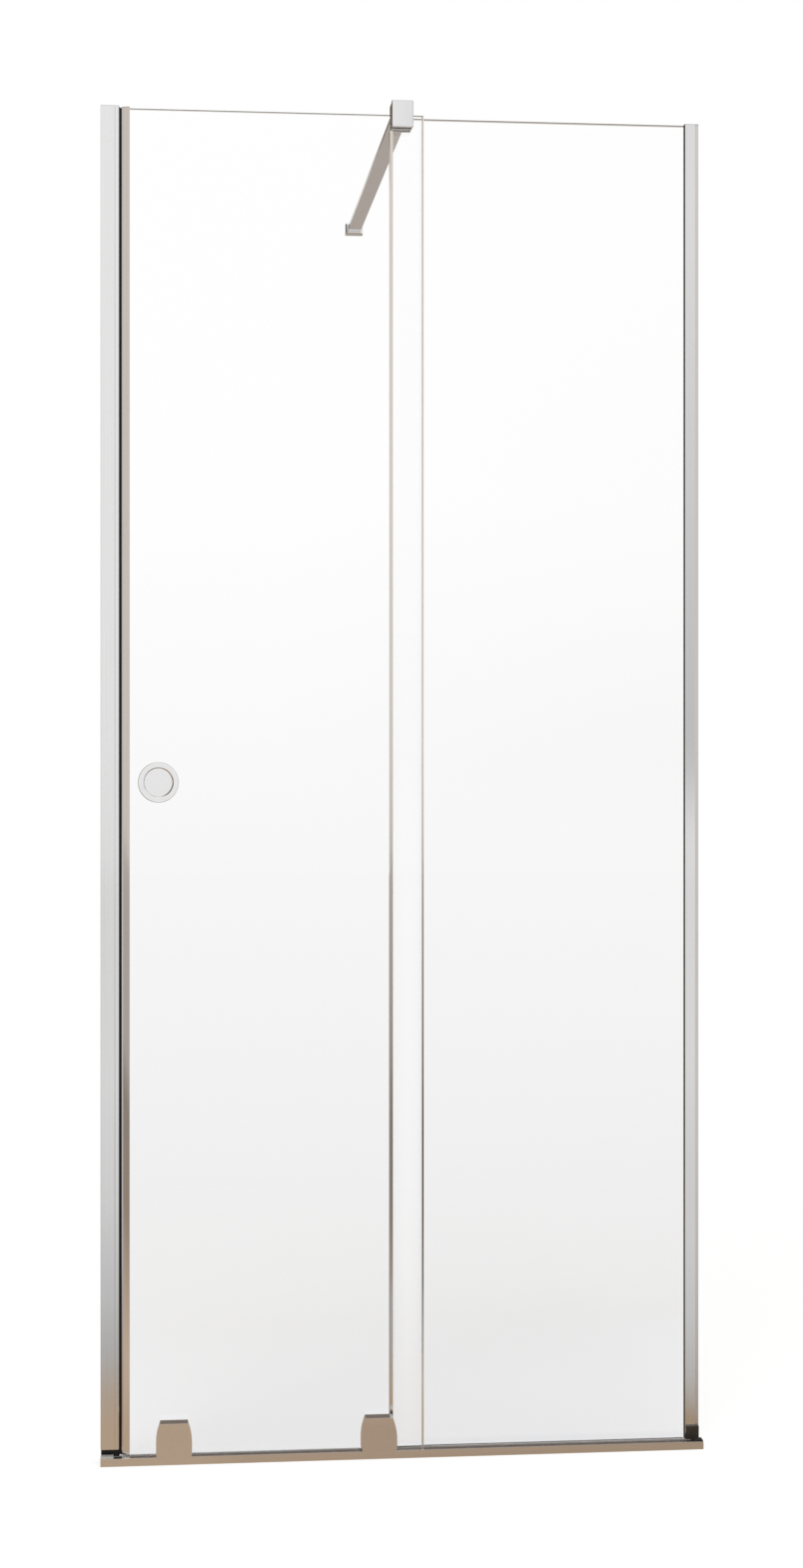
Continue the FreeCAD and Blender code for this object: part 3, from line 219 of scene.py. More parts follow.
def make_glass_shade_and_runs():
    """Painted shade on glass, darker low down where the floor is seen through it, with faint runs of
    roughness, fading towards one side.
    """
    inputs = {"Clear height": NUMBER, "Full side": NUMBER, "Clear side": NUMBER}
    group, given, result = start_group("glass_shade_and_runs", inputs, ["Lowness", "Thickness", "Runs"])
    place = object_place(group)
    across, _, height = split_axes(group, place)
    share = sums(group, "DIVIDE", height, given.outputs["Clear height"])
    lowness = scaled_range(group, share, (1.0, 0.0))
    faded = sums(group, "SUBTRACT", across, given.outputs["Full side"])
    fading = sums(group, "SUBTRACT", given.outputs["Clear side"], given.outputs["Full side"])
    fade = scaled_range(group, sums(group, "DIVIDE", faded, fading), (0.0, 1.0), 1.0, 0.0)
    # The painted shade's share across the pane, fading out towards the clear side
    thickness = product(group, fade, fade)
    mapping = add_node(group, "ShaderNodeMapping", Scale=RUN_STRETCH)
    join(group, place, mapping.inputs["Vector"])
    runs = noise_at(group, mapping.outputs["Vector"], Scale=1.0, Detail=4.0)
    join(group, lowness, result.inputs["Lowness"])
    join(group, thickness, result.inputs["Thickness"])
    join(group, product(group, lowness, thickness, runs.outputs["Fac"]), result.inputs["Runs"])
    return group


water_marks = make_water_marks()
drawn_lines = make_drawn_lines()
moulded_skin = make_moulded_skin()
glass_shade_and_runs = make_glass_shade_and_runs()


# Finishes

ALONG_X = (3.0, 1100.0, 1100.0)
ALONG_Y = (1100.0, 3.0, 1100.0)
ALONG_Z = (1100.0, 1100.0, 3.0)
EVERY_WAY = (420.0, 420.0, 420.0)
NOISE_SPAN = (0.3, 0.7)
LINE_HEIGHT = 0.04 * MM
GRAIN_HEIGHT = 0.2 * MM
STREAK_SHARE = 0.6
MARK_SHARE = 0.4
# The trims' band of painted dark reflection: its top in metres, its streaks and its roughness
REFLECTION_TOP = (1.05, 0.5)
REFLECTION_STREAKS = (0.85, 1.0)
BAND_ROUGHNESS = (0.05, 0.12)
VINYL_ROUGHNESS = (0.16, 0.34)
GLASS_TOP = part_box("door_glass")[1].z
GLASS_EDGE_SOFTNESS = 0.2 * MM
GLASS_RUN_ROUGHNESS = 0.02
# Painted shade on the panes: the height where it starts, and its greys from top to foot
SHADE_CLEAR_HEIGHT = 1.42
THROUGH_GLASS_SHADES = (
    (0.0, WHITE), (0.86, grey(0.854)), (0.95, (0.89, 0.90, 0.915)), (1.0, (0.91, 0.917, 0.93)))
LAP_START = sum(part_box("fixed_edge_strip"), Vector()).x / 2
LAP_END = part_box("door_trailing_strip")[1].x


def start_finish(name):
    material = bpy.data.materials.new(name)
    material.use_nodes = True
    tree = material.node_tree
    return material, tree, tree.nodes["Principled BSDF"]


def raise_surface(tree, shader, height, strength, distance):
    bump = add_node(tree, "ShaderNodeBump", Strength=strength, Distance=distance)
    join(tree, height, bump.inputs["Height"])
    join(tree, bump.outputs["Normal"], shader.inputs["Normal"])


def bright_metal(name, stretch, clean, marked, roughness, line_depth):
    """Polished or plated metal with streaks along its length and dried drops on it."""
    material, tree, shader = start_finish(name)
    lines = place_group(tree, drawn_lines, Stretch=stretch)
    marks = place_group(tree, water_marks, Drops_per_metre=95.0)
    streaks = scaled_range(tree, lines["Lines"], NOISE_SPAN, high=STREAK_SHARE)
    soiling = sums(tree, "ADD", streaks, sums(tree, "MULTIPLY", marks["Marks"], MARK_SHARE))
    join(tree, shade_between(tree, soiling, clean, marked), shader.inputs["Base Color"])
    join(tree, scaled_range(tree, soiling, (0.0, 1.0), *roughness), shader.inputs["Roughness"])
    raise_surface(tree, shader, lines["Lines"], line_depth, LINE_HEIGHT)
    shader.inputs["Metallic"].default_value = 1.0
    return material


def reflection_band_trim(name, clean, painted_reflection, reflection_foot):
    """Polished trim with a painted dark reflection in a streaked band up its height, where it is also
    rougher.
    """
    material, tree, shader = start_finish(name)
    lines = place_group(tree, drawn_lines, Stretch=ALONG_Z)
    height = split_axes(tree, object_place(tree))[2]
    upper = scaled_range(tree, height, REFLECTION_TOP)
    lower = scaled_range(tree, height, reflection_foot)
    streaks = scaled_range(tree, lines["Lines"], NOISE_SPAN, *REFLECTION_STREAKS)
    # Painted reflection: the colour darkens to the second colour in a streaked band between the band's foot
    # and its top
    painted_layer = product(tree, upper, lower, streaks)
    join(tree, shade_between(tree, painted_layer, clean, painted_reflection), shader.inputs["Base Color"])
    join(tree, scaled_range(tree, painted_layer, (0.0, 1.0), *BAND_ROUGHNESS), shader.inputs["Roughness"])
    raise_surface(tree, shader, lines["Lines"], strength=0.10, distance=LINE_HEIGHT)
    shader.inputs["Metallic"].default_value = 1.0
    return material


def moulded_plastic(name, deep, faded, roughness, grain_depth, gloss=0.5):
    """Moulded plastic or rubber with a fine grain and faint clouding."""
    material, tree, shader = start_finish(name)
    skin = place_group(tree, moulded_skin, Grains_per_metre=1900.0)
    clouds = scaled_range(tree, skin["Clouds"], NOISE_SPAN)
    join(tree, shade_between(tree, clouds, deep, faded), shader.inputs["Base Color"])
    join(tree, scaled_range(tree, skin["Grain"], NOISE_SPAN, *roughness), shader.inputs["Roughness"])
    raise_surface(tree, shader, skin["Grain"], grain_depth, GRAIN_HEIGHT)
    shader.inputs["Specular IOR Level"].default_value = gloss
    return material


def clear_plastic(name, clean, dull, clearness):
    """Soft vinyl, clear or milky, for the seals that touch the glass."""
    material, tree, shader = start_finish(name)
    skin = place_group(tree, moulded_skin, Grains_per_metre=700.0)
    clouds = scaled_range(tree, skin["Clouds"], NOISE_SPAN)
    join(tree, shade_between(tree, clouds, clean, dull), shader.inputs["Base Color"])
    join(tree, scaled_range(tree, skin["Grain"], NOISE_SPAN, *VINYL_ROUGHNESS), shader.inputs["Roughness"])
    raise_surface(tree, shader, skin["Grain"], strength=0.15, distance=GRAIN_HEIGHT)
    shader.inputs["Transmission Weight"].default_value = clearness
    shader.inputs["IOR"].default_value = 1.45
    return material


def safety_glass(name, full_side, clear_side, edge_width, edge_reflection):
    """Clear toughened glass with painted shade low down, lighter again at its foot, and a painted reflection
    along its top edge.
    """
    material, tree, shader = start_finish(name)
    painted_layer = place_group(
        tree, glass_shade_and_runs, Clear_height=SHADE_CLEAR_HEIGHT, Full_side=full_side, Clear_side=clear_side)
    # Painted shade: the glass greys towards its foot, standing in for the darker floor seen through it
    shade = shade_along(tree, painted_layer["Lowness"], *THROUGH_GLASS_SHADES)
    painted_shade = mix_colours(tree, painted_layer["Thickness"], WHITE, shade)
    height = split_axes(tree, object_place(tree))[2]
    # Painted reflection: a brownish band along the pane's top edge
    edge_start = GLASS_TOP - edge_width
    edge = scaled_range(tree, height, (edge_start - GLASS_EDGE_SOFTNESS, edge_start + GLASS_EDGE_SOFTNESS))
    join(tree, mix_colours(tree, edge, painted_shade, edge_reflection), shader.inputs["Base Color"])
    roughness = scaled_range(tree, painted_layer["Runs"], (0.0, 1.0), high=GLASS_RUN_ROUGHNESS)
    join(tree, roughness, shader.inputs["Roughness"])
    shader.inputs["Transmission Weight"].default_value = 1.0
    shader.inputs["IOR"].default_value = 1.5
    return material


finishes = {
    "polished_profile": bright_metal(
        "polished_profile_finish", ALONG_Z, clean=grey(0.82), marked=(0.76, 0.76, 0.755),
        roughness=(0.05, 0.12), line_depth=0.10),
    "polished_rail": bright_metal(
        "polished_rail_finish", ALONG_X, clean=grey(0.82), marked=(0.76, 0.76, 0.755),
        roughness=(0.06, 0.14), line_depth=0.10),
    # The second colour of each trim is painted dark reflection
    "polished_trim": reflection_band_trim(
        "polished_trim_finish", clean=grey(0.97), painted_reflection=(0.62, 0.60, 0.58), reflection_foot=(0.16, 0.38)),
    "trailing_trim": reflection_band_trim(
        "trailing_trim_finish", clean=grey(0.97), painted_reflection=(0.27, 0.255, 0.24), reflection_foot=(0.11, 0.26)),
    "plain_aluminium": bright_metal(
        "plain_aluminium_finish", ALONG_Z, clean=(0.72, 0.69, 0.66), marked=(0.62, 0.595, 0.57),
        roughness=(0.26, 0.40), line_depth=0.25),
    "polished_cap": bright_metal(
        "polished_cap_finish", EVERY_WAY, clean=grey(0.80), marked=grey(0.74),
        roughness=(0.07, 0.14), line_depth=0.05),
    "chrome_casting": bright_metal(
        "chrome_casting_finish", EVERY_WAY, clean=grey(0.81), marked=grey(0.76),
        roughness=(0.03, 0.09), line_depth=0.04),
    "chrome_shell": bright_metal(
        "chrome_shell_finish", EVERY_WAY, clean=grey(0.81), marked=grey(0.76),
        roughness=(0.04, 0.10), line_depth=0.05),
    "chrome_pull": bright_metal(
        "chrome_pull_finish", EVERY_WAY, clean=grey(0.87), marked=grey(0.82),
        roughness=(0.03, 0.09), line_depth=0.04),
    "chrome_bar": bright_metal(
        "chrome_bar_finish", ALONG_Y, clean=(0.89, 0.885, 0.875), marked=(0.83, 0.825, 0.815),
        roughness=(0.04, 0.10), line_depth=0.06),
    "screw_steel": bright_metal(
        "screw_steel_finish", EVERY_WAY, clean=grey(0.60), marked=(0.50, 0.50, 0.49),
        roughness=(0.18, 0.32), line_depth=0.12),
    "black_seal": moulded_plastic(
        "black_seal_finish", deep=grey(0.010), faded=(0.022, 0.021, 0.020),
        roughness=(0.45, 0.62), grain_depth=0.12, gloss=0.25),
    "black_plastic": moulded_plastic(
        "black_plastic_finish", deep=grey(0.012), faded=(0.026, 0.025, 0.024),
        roughness=(0.34, 0.50), grain_depth=0.12, gloss=0.3),
    # Dark brown plastic for the right profile's foot, a dark block standing in for a painted dark reflection
    # there
    "dark_reflection_plastic": moulded_plastic(
        "dusty_plastic_finish", deep=(0.040, 0.031, 0.023), faded=(0.076, 0.060, 0.045),
        roughness=(0.34, 0.50), grain_depth=0.12, gloss=0.3),
    "grey_plastic": moulded_plastic(
        "grey_plastic_finish", deep=(0.50, 0.49, 0.47), faded=(0.60, 0.59, 0.57),
        roughness=(0.30, 0.44), grain_depth=0.10),
    "guide_plastic": moulded_plastic(
        "guide_plastic_finish", deep=grey(0.42), faded=(0.52, 0.52, 0.51),
        roughness=(0.30, 0.46), grain_depth=0.10),
    "roller_plastic": moulded_plastic(
        "roller_plastic_finish", deep=(0.62, 0.62, 0.60), faded=(0.72, 0.72, 0.70),
        roughness=(0.24, 0.38), grain_depth=0.08),
    "clear_seal": clear_plastic(
        "clear_seal_finish", clean=(0.90, 0.91, 0.90), dull=(0.80, 0.81, 0.79), clearness=0.75),
    "milky_seal": clear_plastic(
        "milky_seal_finish", clean=(0.96, 0.96, 0.95), dull=(0.90, 0.90, 0.89), clearness=0.2),
    "door_pane": safety_glass(
        "door_pane_finish", LAP_START, LAP_END, edge_width=1.5 * MM, edge_reflection=(0.38, 0.35, 0.31)),
    "fixed_pane": safety_glass(
        "fixed_pane_finish", LAP_END, LAP_START, edge_width=2.2 * MM, edge_reflection=(0.40, 0.36, 0.32)),
}


# Nodes with a finish of their own, in place of their slot's finish

OWN_FINISHES = {
    "bottom_rail": "polished_rail",
    "bottom_glazing_gasket": "milky_seal",
    "fixed_edge_strip": "polished_trim",
    "door_trailing_strip": "trailing_trim",
    # The right profile's dark brown foot is painted reflection
    "right_profile_foot": "dark_reflection_plastic",
}


def finish_of(name):
    return OWN_FINISHES.get(name, node_slots[name])


def finish_cad_nodes():
    for name, node in nodes.items():
        node.material_slots[0].material = finishes[finish_of(name)]


# Modelling helpers, with places and lengths in millimetres

SAME_PLACE = 0.01
SAME_DIRECTION = 0.999
SMOOTH_ANGLE = math.radians(35.0)


def open_for_modelling(name):
    """Names a new primitive, settles its place into its mesh and opens it with nothing picked."""
    piece = bpy.context.object
    piece.name = name
    bpy.ops.object.transform_apply(location=True, rotation=True, scale=True)
    bpy.ops.object.mode_set(mode="EDIT")
    bpy.ops.mesh.select_all(action="DESELECT")
    return piece


def start_block(name, low, high):
    low, high = Vector(low) * MM, Vector(high) * MM
    bpy.ops.object.select_all(action="DESELECT")
    bpy.ops.mesh.primitive_cube_add(size=1.0, location=(low + high) / 2, scale=high - low)
    return open_for_modelling(name)


def start_round(name, middle, radius, front, back, sides):
    """A round block with its axis from front to back, through a middle given by its X and Z."""
    bpy.ops.object.select_all(action="DESELECT")
    place = Vector((middle[0], (front + back) / 2, middle[1])) * MM
    bpy.ops.mesh.primitive_cylinder_add(
        vertices=sides, radius=radius * MM, depth=(back - front) * MM, location=place,
        rotation=(math.radians(90.0), 0.0, 0.0))
    return open_for_modelling(name)


def node_box(name):
    low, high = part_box(name)
    return low / MM, high / MM


def front_middle(low, high):
    """The X and Z of the middle of a box."""
    return (low.x + high.x) / 2, (low.z + high.z) / 2


def looking(direction):
    """A test for faces that look one way."""
    aim = Vector(direction)
    return lambda middle, normal: normal.dot(aim) > SAME_DIRECTION


def along(axis):
    """A test for edges that run along one axis."""
    others = [index for index in range(3) if index != "xyz".index(axis)]
    return lambda start, end: all(abs(start[index] - end[index]) < SAME_PLACE for index in others)


def level(axis, place):
    """A test for edges with both ends at one place on an axis."""
    index = "xyz".index(axis)
    return lambda *ends: all(abs(end[index] - place) < SAME_PLACE for end in ends)


def within(middle, radius):
    """A test for edges inside a radius about an axis from front to back."""
    return lambda *ends: all(math.dist((end.x, end.z), middle) < radius for end in ends)


def beyond(middle, radius):
    """A test for edges outside a radius about an axis from front to back."""
    return lambda *ends: all(math.dist((end.x, end.z), middle) > radius for end in ends)


def pick_faces(piece, *tests):
    """Picks the faces whose middle and normal pass each test."""
    bpy.ops.mesh.select_mode(type="FACE")
    bpy.ops.mesh.select_all(action="DESELECT")
    mesh = bmesh.from_edit_mesh(piece.data)
    for face in mesh.faces:
        middle = face.calc_center_median() / MM
        face.select_set(all(test(middle, face.normal) for test in tests))
    bmesh.update_edit_mesh(piece.data)


def pick_edges(piece, *tests):
    """Picks the edges whose two ends pass each test."""
    bpy.ops.mesh.select_mode(type="EDGE")
    bpy.ops.mesh.select_all(action="DESELECT")
    mesh = bmesh.from_edit_mesh(piece.data)
    for edge in mesh.edges:
        start, end = (corner.co / MM for corner in edge.verts)
        edge.select_set(all(test(start, end) for test in tests))
    bmesh.update_edit_mesh(piece.data)


def bevel_picked(width, segments):
    bpy.ops.mesh.bevel(offset=width * MM, segments=segments, affect="EDGES", clamp_overlap=True)


def inset_picked(width, rise=0.0):
    bpy.ops.mesh.inset(thickness=width * MM, depth=rise * MM)


def push_picked(shift):
    """Extrudes the picked faces by a shift."""
    bpy.ops.mesh.extrude_region_move(TRANSFORM_OT_translate={"value": Vector(shift) * MM})


def resize_picked(factors, centre):
    bpy.ops.transform.resize(value=factors, center_override=Vector(centre) * MM)


def settle(piece):
    """Leaves edit mode with only this piece picked."""
    bpy.ops.object.mode_set(mode="OBJECT")
    bpy.ops.object.select_all(action="DESELECT")
    piece.select_set(True)
    bpy.context.view_layer.objects.active = piece


def apply_modifier(piece, kind, **values):
    bpy.ops.object.modifier_add(type=kind)
    modifier = piece.modifiers[-1]
    for name, value in values.items():
        setattr(modifier, name, value)
    bpy.ops.object.modifier_apply(modifier=modifier.name)


def cut_away(piece, cutter):
    """Takes a cutter's shape out of a piece and clears the cutter away."""
    settle(piece)
    apply_modifier(piece, "BOOLEAN", operation="DIFFERENCE", object=cutter)
    bpy.data.objects.remove(cutter)


def copy_piece(piece, name, shift):
    """A copy with a mesh of its own, moved by a shift."""
    settle(piece)
    bpy.ops.object.duplicate(linked=False)
    copy = bpy.context.object
    copy.name = name
    bpy.ops.transform.translate(value=Vector(shift) * MM)
    bpy.ops.object.transform_apply(location=True, rotation=False, scale=False)
    return copy


def smooth_piece(piece):
    """Smooths the rounded edges and keeps the flat faces flat."""
    settle(piece)
    bpy.ops.object.shade_smooth_by_angle(angle=SMOOTH_ANGLE)
    apply_modifier(piece, "WEIGHTED_NORMAL", keep_sharp=True)


def hand_over(piece, finish, body, *stood_for):
    """Gives a piece its finish and its body, and hides the CAD nodes that it stands for."""
    piece.data.materials.clear()
    piece.data.materials.append(finishes[finish])
    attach(piece, body)
    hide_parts(*stood_for)


# Modelled pieces

CLAMP_CORNER = 2.5
CLAMP_RIM = 1.3
CLAMP_CROWN = 0.3
CLAMP_CROWN_STEPS = ((4.0, 0.6), (6.0, 0.4))


def model_clamp_cover():
    """Front shell of the guide clamp, with round corners, a soft rim and a faintly crowned face."""
    low, high = node_box("guide_clamp_cover")
    face = low.y + CLAMP_CROWN
    piece = start_block("clamp_cover_shell", (low.x, face, low.z), high)
    pick_faces(piece, looking((0, -1, 0)))
    for width, share in CLAMP_CROWN_STEPS:
        inset_picked(width, CLAMP_CROWN * share)
    pick_edges(piece, along("y"))
    bevel_picked(CLAMP_CORNER, segments=6)
    pick_edges(piece, level("y", face))
    bevel_picked(CLAMP_RIM, segments=4)
    smooth_piece(piece)
    hand_over(piece, "chrome_casting", "frame", "guide_clamp_cover")


CARRIAGE_TOP_WIDTH = 40.4
CARRIAGE_SHOULDER = 42.0
CARRIAGE_SHOULDER_RUN = 9.8
CARRIAGE_CORNER = 6.0
CARRIAGE_RIM = 0.2
CARRIAGE_WALL = 2.0
CARRIAGE_NOTCH = 12.5
CARRIAGE_LAP_BACK = -26.0


def shape_carriage(piece, low, high, top_width):
    """Draws the sides of a carriage block in above its shoulders."""
    bpy.ops.mesh.select_all(action="SELECT")
    bpy.ops.mesh.bisect(plane_co=(0.0, 0.0, CARRIAGE_SHOULDER * MM), plane_no=(0.0, 0.0, 1.0))
    pick_faces(piece, looking((0, 0, 1)))
    middle = (low.x + high.x) / 2
    resize_picked((top_width / (high.x - low.x), 1.0, 1.0), (middle, 0.0, high.z))


def model_carriage_shell(side):
    """Polished shell over two rollers: drawn-in shoulders, round lower corners, open behind and below."""
    node = "carriage_cover_" + side
    low, high = node_box(node)
    piece = start_block("carriage_shell_" + side, low, high)
    shape_carriage(piece, low, high, CARRIAGE_TOP_WIDTH)
    pick_edges(piece, along("y"), level("z", CARRIAGE_SHOULDER))
    bevel_picked(CARRIAGE_SHOULDER_RUN, segments=10)
    pick_edges(piece, along("y"), level("z", low.z))
    bevel_picked(CARRIAGE_CORNER, segments=6)
    pick_edges(piece, level("y", low.y))
    bevel_picked(CARRIAGE_RIM, segments=3)
    settle(piece)
    inner_low = low + Vector((CARRIAGE_WALL, CARRIAGE_WALL, -CARRIAGE_WALL))
    inner_high = high + Vector((-CARRIAGE_WALL, CARRIAGE_WALL, -CARRIAGE_WALL))
    hollow = start_block("carriage_hollow", inner_low, inner_high)
    shape_carriage(hollow, inner_low, inner_high, CARRIAGE_TOP_WIDTH - 2 * CARRIAGE_WALL)
    settle(hollow)
    cut_away(piece, hollow)
    notch = start_block(
        "carriage_notch", (low.x - CARRIAGE_WALL, CARRIAGE_LAP_BACK, 0.0),
        (high.x + CARRIAGE_WALL, high.y + CARRIAGE_WALL, CARRIAGE_NOTCH))
    settle(notch)
    cut_away(piece, notch)
    smooth_piece(piece)
    hand_over(piece, "chrome_shell", "door", node)


PULL_SIDES = 96
PULL_RIM = 30.0
PULL_FLANGE = 2.5
PULL_EDGE = 0.9
PULL_MOUTH_WIDTH = 0.9
PULL_MOUTH_DEPTH = 0.6
PULL_MOUTH_ROUND = 0.15
PULL_FLOOR_ROUND = 0.8
PULL_DRAFT = 0.4
PULL_DEPTH = 5.0
PULL_FLOOR = 1.0
PULL_FRONT_MOUTH = 22.4
PULL_REAR_MOUTH = 19.7
PULL_BARREL = 24.0
PULL_BORE = 20.7
PULL_BORE_DEPTH = 2.4
PULL_THREAD_GAP = 0.1
PULL_FLAT_MARGIN = 0.12
PULL_PICK_MARGIN = 0.5


def narrow_picked(middle, radius, smaller):
    share = smaller / radius
    resize_picked((share, 1.0, share), (middle[0], 0.0, middle[1]))


def sink_recess(piece, middle, outward, face, floor, mouth):
    """Sinks a finger recess with a sloping mouth, a drafted wall and rounded edges."""
    throat = face - outward * PULL_MOUTH_DEPTH
    neck = mouth - PULL_MOUTH_WIDTH
    pick_faces(piece, looking((0, outward, 0)))
    inset_picked(PULL_RIM - mouth)
    push_picked((0.0, throat - face, 0.0))
    narrow_picked(middle, mouth, neck)
    push_picked((0.0, floor - throat, 0.0))
    narrow_picked(middle, neck, neck - PULL_DRAFT)
    pick_edges(piece, level("y", floor))
    bevel_picked(PULL_FLOOR_ROUND, segments=3)
    pick_edges(piece, level("y", throat))
    bevel_picked(PULL_MOUTH_ROUND, segments=2)
    pick_edges(piece, level("y", face), within(middle, mouth + PULL_PICK_MARGIN))
    bevel_picked(PULL_MOUTH_ROUND, segments=2)
    pick_edges(piece, level("y", face), beyond(middle, PULL_RIM - PULL_PICK_MARGIN))
    bevel_picked(PULL_EDGE, segments=4)
    pick_faces(piece, looking((0, outward, 0)))
    inset_picked(PULL_FLAT_MARGIN)


def model_front_pull():
    """Front half of the flush pull: flange, finger recess and the barrel through the glass."""
    low, high = node_box("handle_front_cup")
    middle = front_middle(low, high)
    seat = low.y + PULL_FLANGE
    piece = start_round("pull_front_cup", middle, PULL_RIM, low.y, seat, PULL_SIDES)
    pick_faces(piece, looking((0, 1, 0)))
    inset_picked(PULL_RIM - PULL_BARREL)
    push_picked((0.0, high.y - seat, 0.0))
    inset_picked(PULL_BARREL - PULL_BORE)
    push_picked((0.0, -PULL_BORE_DEPTH, 0.0))
    sink_recess(piece, middle, -1, low.y, low.y + PULL_DEPTH, PULL_FRONT_MOUTH)
    smooth_piece(piece)
    hand_over(piece, "chrome_pull", "door", "handle_front_cup")


def model_rear_pull():
    """Rear half of the flush pull: flange, finger recess and the boss that goes into the barrel."""
    low, high = node_box("handle_rear_cup")
    middle = front_middle(low, high)
    seat = high.y - PULL_FLANGE
    piece = start_round("pull_rear_cup", middle, PULL_RIM, seat, high.y, PULL_SIDES)
    pick_faces(piece, looking((0, -1, 0)))
    inset_picked(PULL_RIM - PULL_BORE + PULL_THREAD_GAP)
    push_picked((0.0, low.y - seat, 0.0))
    sink_recess(piece, middle, 1, high.y, low.y + PULL_FLOOR, PULL_REAR_MOUTH)
    smooth_piece(piece)
    hand_over(piece, "chrome_pull", "door", "handle_rear_cup")


SCREW_SIDES = 32
SOCKET_SIDES = 6
HEAD_DOME = 0.6
HEAD_SOCKET_WIDTH = 0.42
HEAD_SOCKET_DEPTH = 0.65
SHANK_POINT = 0.25
LOCK_HEAD = 3.2
LOCK_HEAD_HEIGHT = 1.8
LOCK_SHANK = 1.6
LOCK_SHANK_LENGTH = 3.2
PLATE_HEAD = 4.3
PLATE_HEAD_HEIGHT = 1.7
PLATE_SHANK = 2.5
PLATE_SHANK_LENGTH = 11.0
PLATE_SCREW_SPACING = 22.0
PLATE_SCREW_HEIGHT = 44.0
GRUB_RADIUS = 2.5
GRUB_REAR_EDGE = 0.3
GRUB_POINT = 0.8
GRUB_SOCKET_WIDTH = 0.55
GRUB_SOCKET_DEPTH = 2.0


def cut_socket(piece, middle, radius, depth, top):
    """Cuts a hexagon socket into a screw's rear end."""
    key = start_round("hexagon_key", middle, radius, top - depth, top + depth, SOCKET_SIDES)
    settle(key)
    cut_away(piece, key)


def model_screw(name, place, head, head_height, shank, shank_length):
    """A screw driven from the rear: a domed head with a hexagon socket on a plain shank."""
    middle, top = (place[0], place[2]), place[1]
    seat = top - head_height
    piece = start_round(name, middle, head, seat, top, SCREW_SIDES)
    pick_faces(piece, looking((0, -1, 0)))
    inset_picked(head - shank)
    push_picked((0.0, -shank_length, 0.0))
    pick_edges(piece, level("y", seat - shank_length))
    bevel_picked(shank * SHANK_POINT, segments=2)
    pick_edges(piece, level("y", top))
    bevel_picked(head_height * HEAD_DOME, segments=4)
    settle(piece)
    cut_socket(piece, middle, head * HEAD_SOCKET_WIDTH, head_height * HEAD_SOCKET_DEPTH, top)
    smooth_piece(piece)
    return piece


def model_screw_set(places, *sizes):
    """A screw modelled at the first of the named places, and a copy of it at each of the others."""
    (first_name, start), *others = places.items()
    first = model_screw(first_name, start, *sizes)
    return [first] + [copy_piece(first, name, Vector(place) - Vector(start)) for name, place in others]


def model_lock_screws():
    """Six screws that lock the profiles on the wall channels, three at each side."""
    low, high = node_box("profile_lock_screws")
    bottom, top = low.z + LOCK_HEAD, high.z - LOCK_HEAD
    sides = {
        "left": ("left_strike_profile", low.x + LOCK_HEAD),
        "right": ("right_glazing_profile", high.x - LOCK_HEAD),
    }
    places = {}
    for side, (profile, across) in sides.items():
        back = node_box(profile)[1].y + LOCK_HEAD_HEIGHT
        for number, height in enumerate((bottom, (bottom + top) / 2, top), start=1):
            places[f"lock_screw_{side}_{number}"] = (across, back, height)
    for screw in model_screw_set(places, LOCK_HEAD, LOCK_HEAD_HEIGHT, LOCK_SHANK, LOCK_SHANK_LENGTH):
        hand_over(screw, "screw_steel", "frame", "profile_lock_screws")


def model_carriage_screws():
    """Four screws that draw the back plates to the carriages through the glass."""
    back = node_box("carriage_screws")[1].y
    places = {}
    for side in ("left", "right"):
        middle = front_middle(*node_box("carriage_back_plate_" + side))[0]
        for number, step in ((1, -0.5), (2, 0.5)):
            across = middle + step * PLATE_SCREW_SPACING
            places[f"carriage_screw_{side}_{number}"] = (across, back, PLATE_SCREW_HEIGHT)
    for screw in model_screw_set(places, PLATE_HEAD, PLATE_HEAD_HEIGHT, PLATE_SHANK, PLATE_SHANK_LENGTH):
        hand_over(screw, "screw_steel", "door", "carriage_screws")


def model_grub_screws():
    """Two grub screws that press the clamp's jaw on the fixed pane."""
    low, high = node_box("clamp_set_screws")
    left, right = low.x + GRUB_RADIUS, high.x - GRUB_RADIUS
    middle = (left, (low.z + high.z) / 2)
    first = start_round("grub_screw_left", middle, GRUB_RADIUS, low.y, high.y, SCREW_SIDES)
    pick_edges(first, level("y", high.y))
    bevel_picked(GRUB_REAR_EDGE, segments=2)
    pick_edges(first, level("y", low.y))
    bevel_picked(GRUB_POINT, segments=2)
    settle(first)
    cut_socket(first, middle, GRUB_RADIUS * GRUB_SOCKET_WIDTH, GRUB_SOCKET_DEPTH, high.y)
    smooth_piece(first)
    second = copy_piece(first, "grub_screw_right", (right - left, 0.0, 0.0))
    for screw in (first, second):
        hand_over(screw, "screw_steel", "frame", "clamp_set_screws")


EASED_EDGES = {
    "rail_stop_left": 0.4,
    "rail_stop_right": 0.4,
    "left_strike_profile": 0.25,
    "left_profile_foot": 0.4,
    "left_top_cap": 0.35,
    "right_glazing_profile": 0.25,
    "right_top_cap": 0.35,
    "right_profile_foot": 0.4,
    "strike_seal": 0.4,
    "fixed_edge_strip": 0.25,
    "guide_clamp_body": 0.5,
    "door_guide_insert": 0.3,
    "bar_wall_flange": 0.5,
    "door_closing_profile": 0.2,
    "closing_profile_cap": 0.3,
    "door_magnet_seal": 0.3,
    "door_trailing_strip": 0.2,
    "carriage_back_plate_left": 0.5,
    "carriage_back_plate_right": 0.5,
}
MERGE_GAP = 0.002
FLAT_ANGLE = math.radians(0.5)
SHARP_ANGLE = math.radians(40.0)


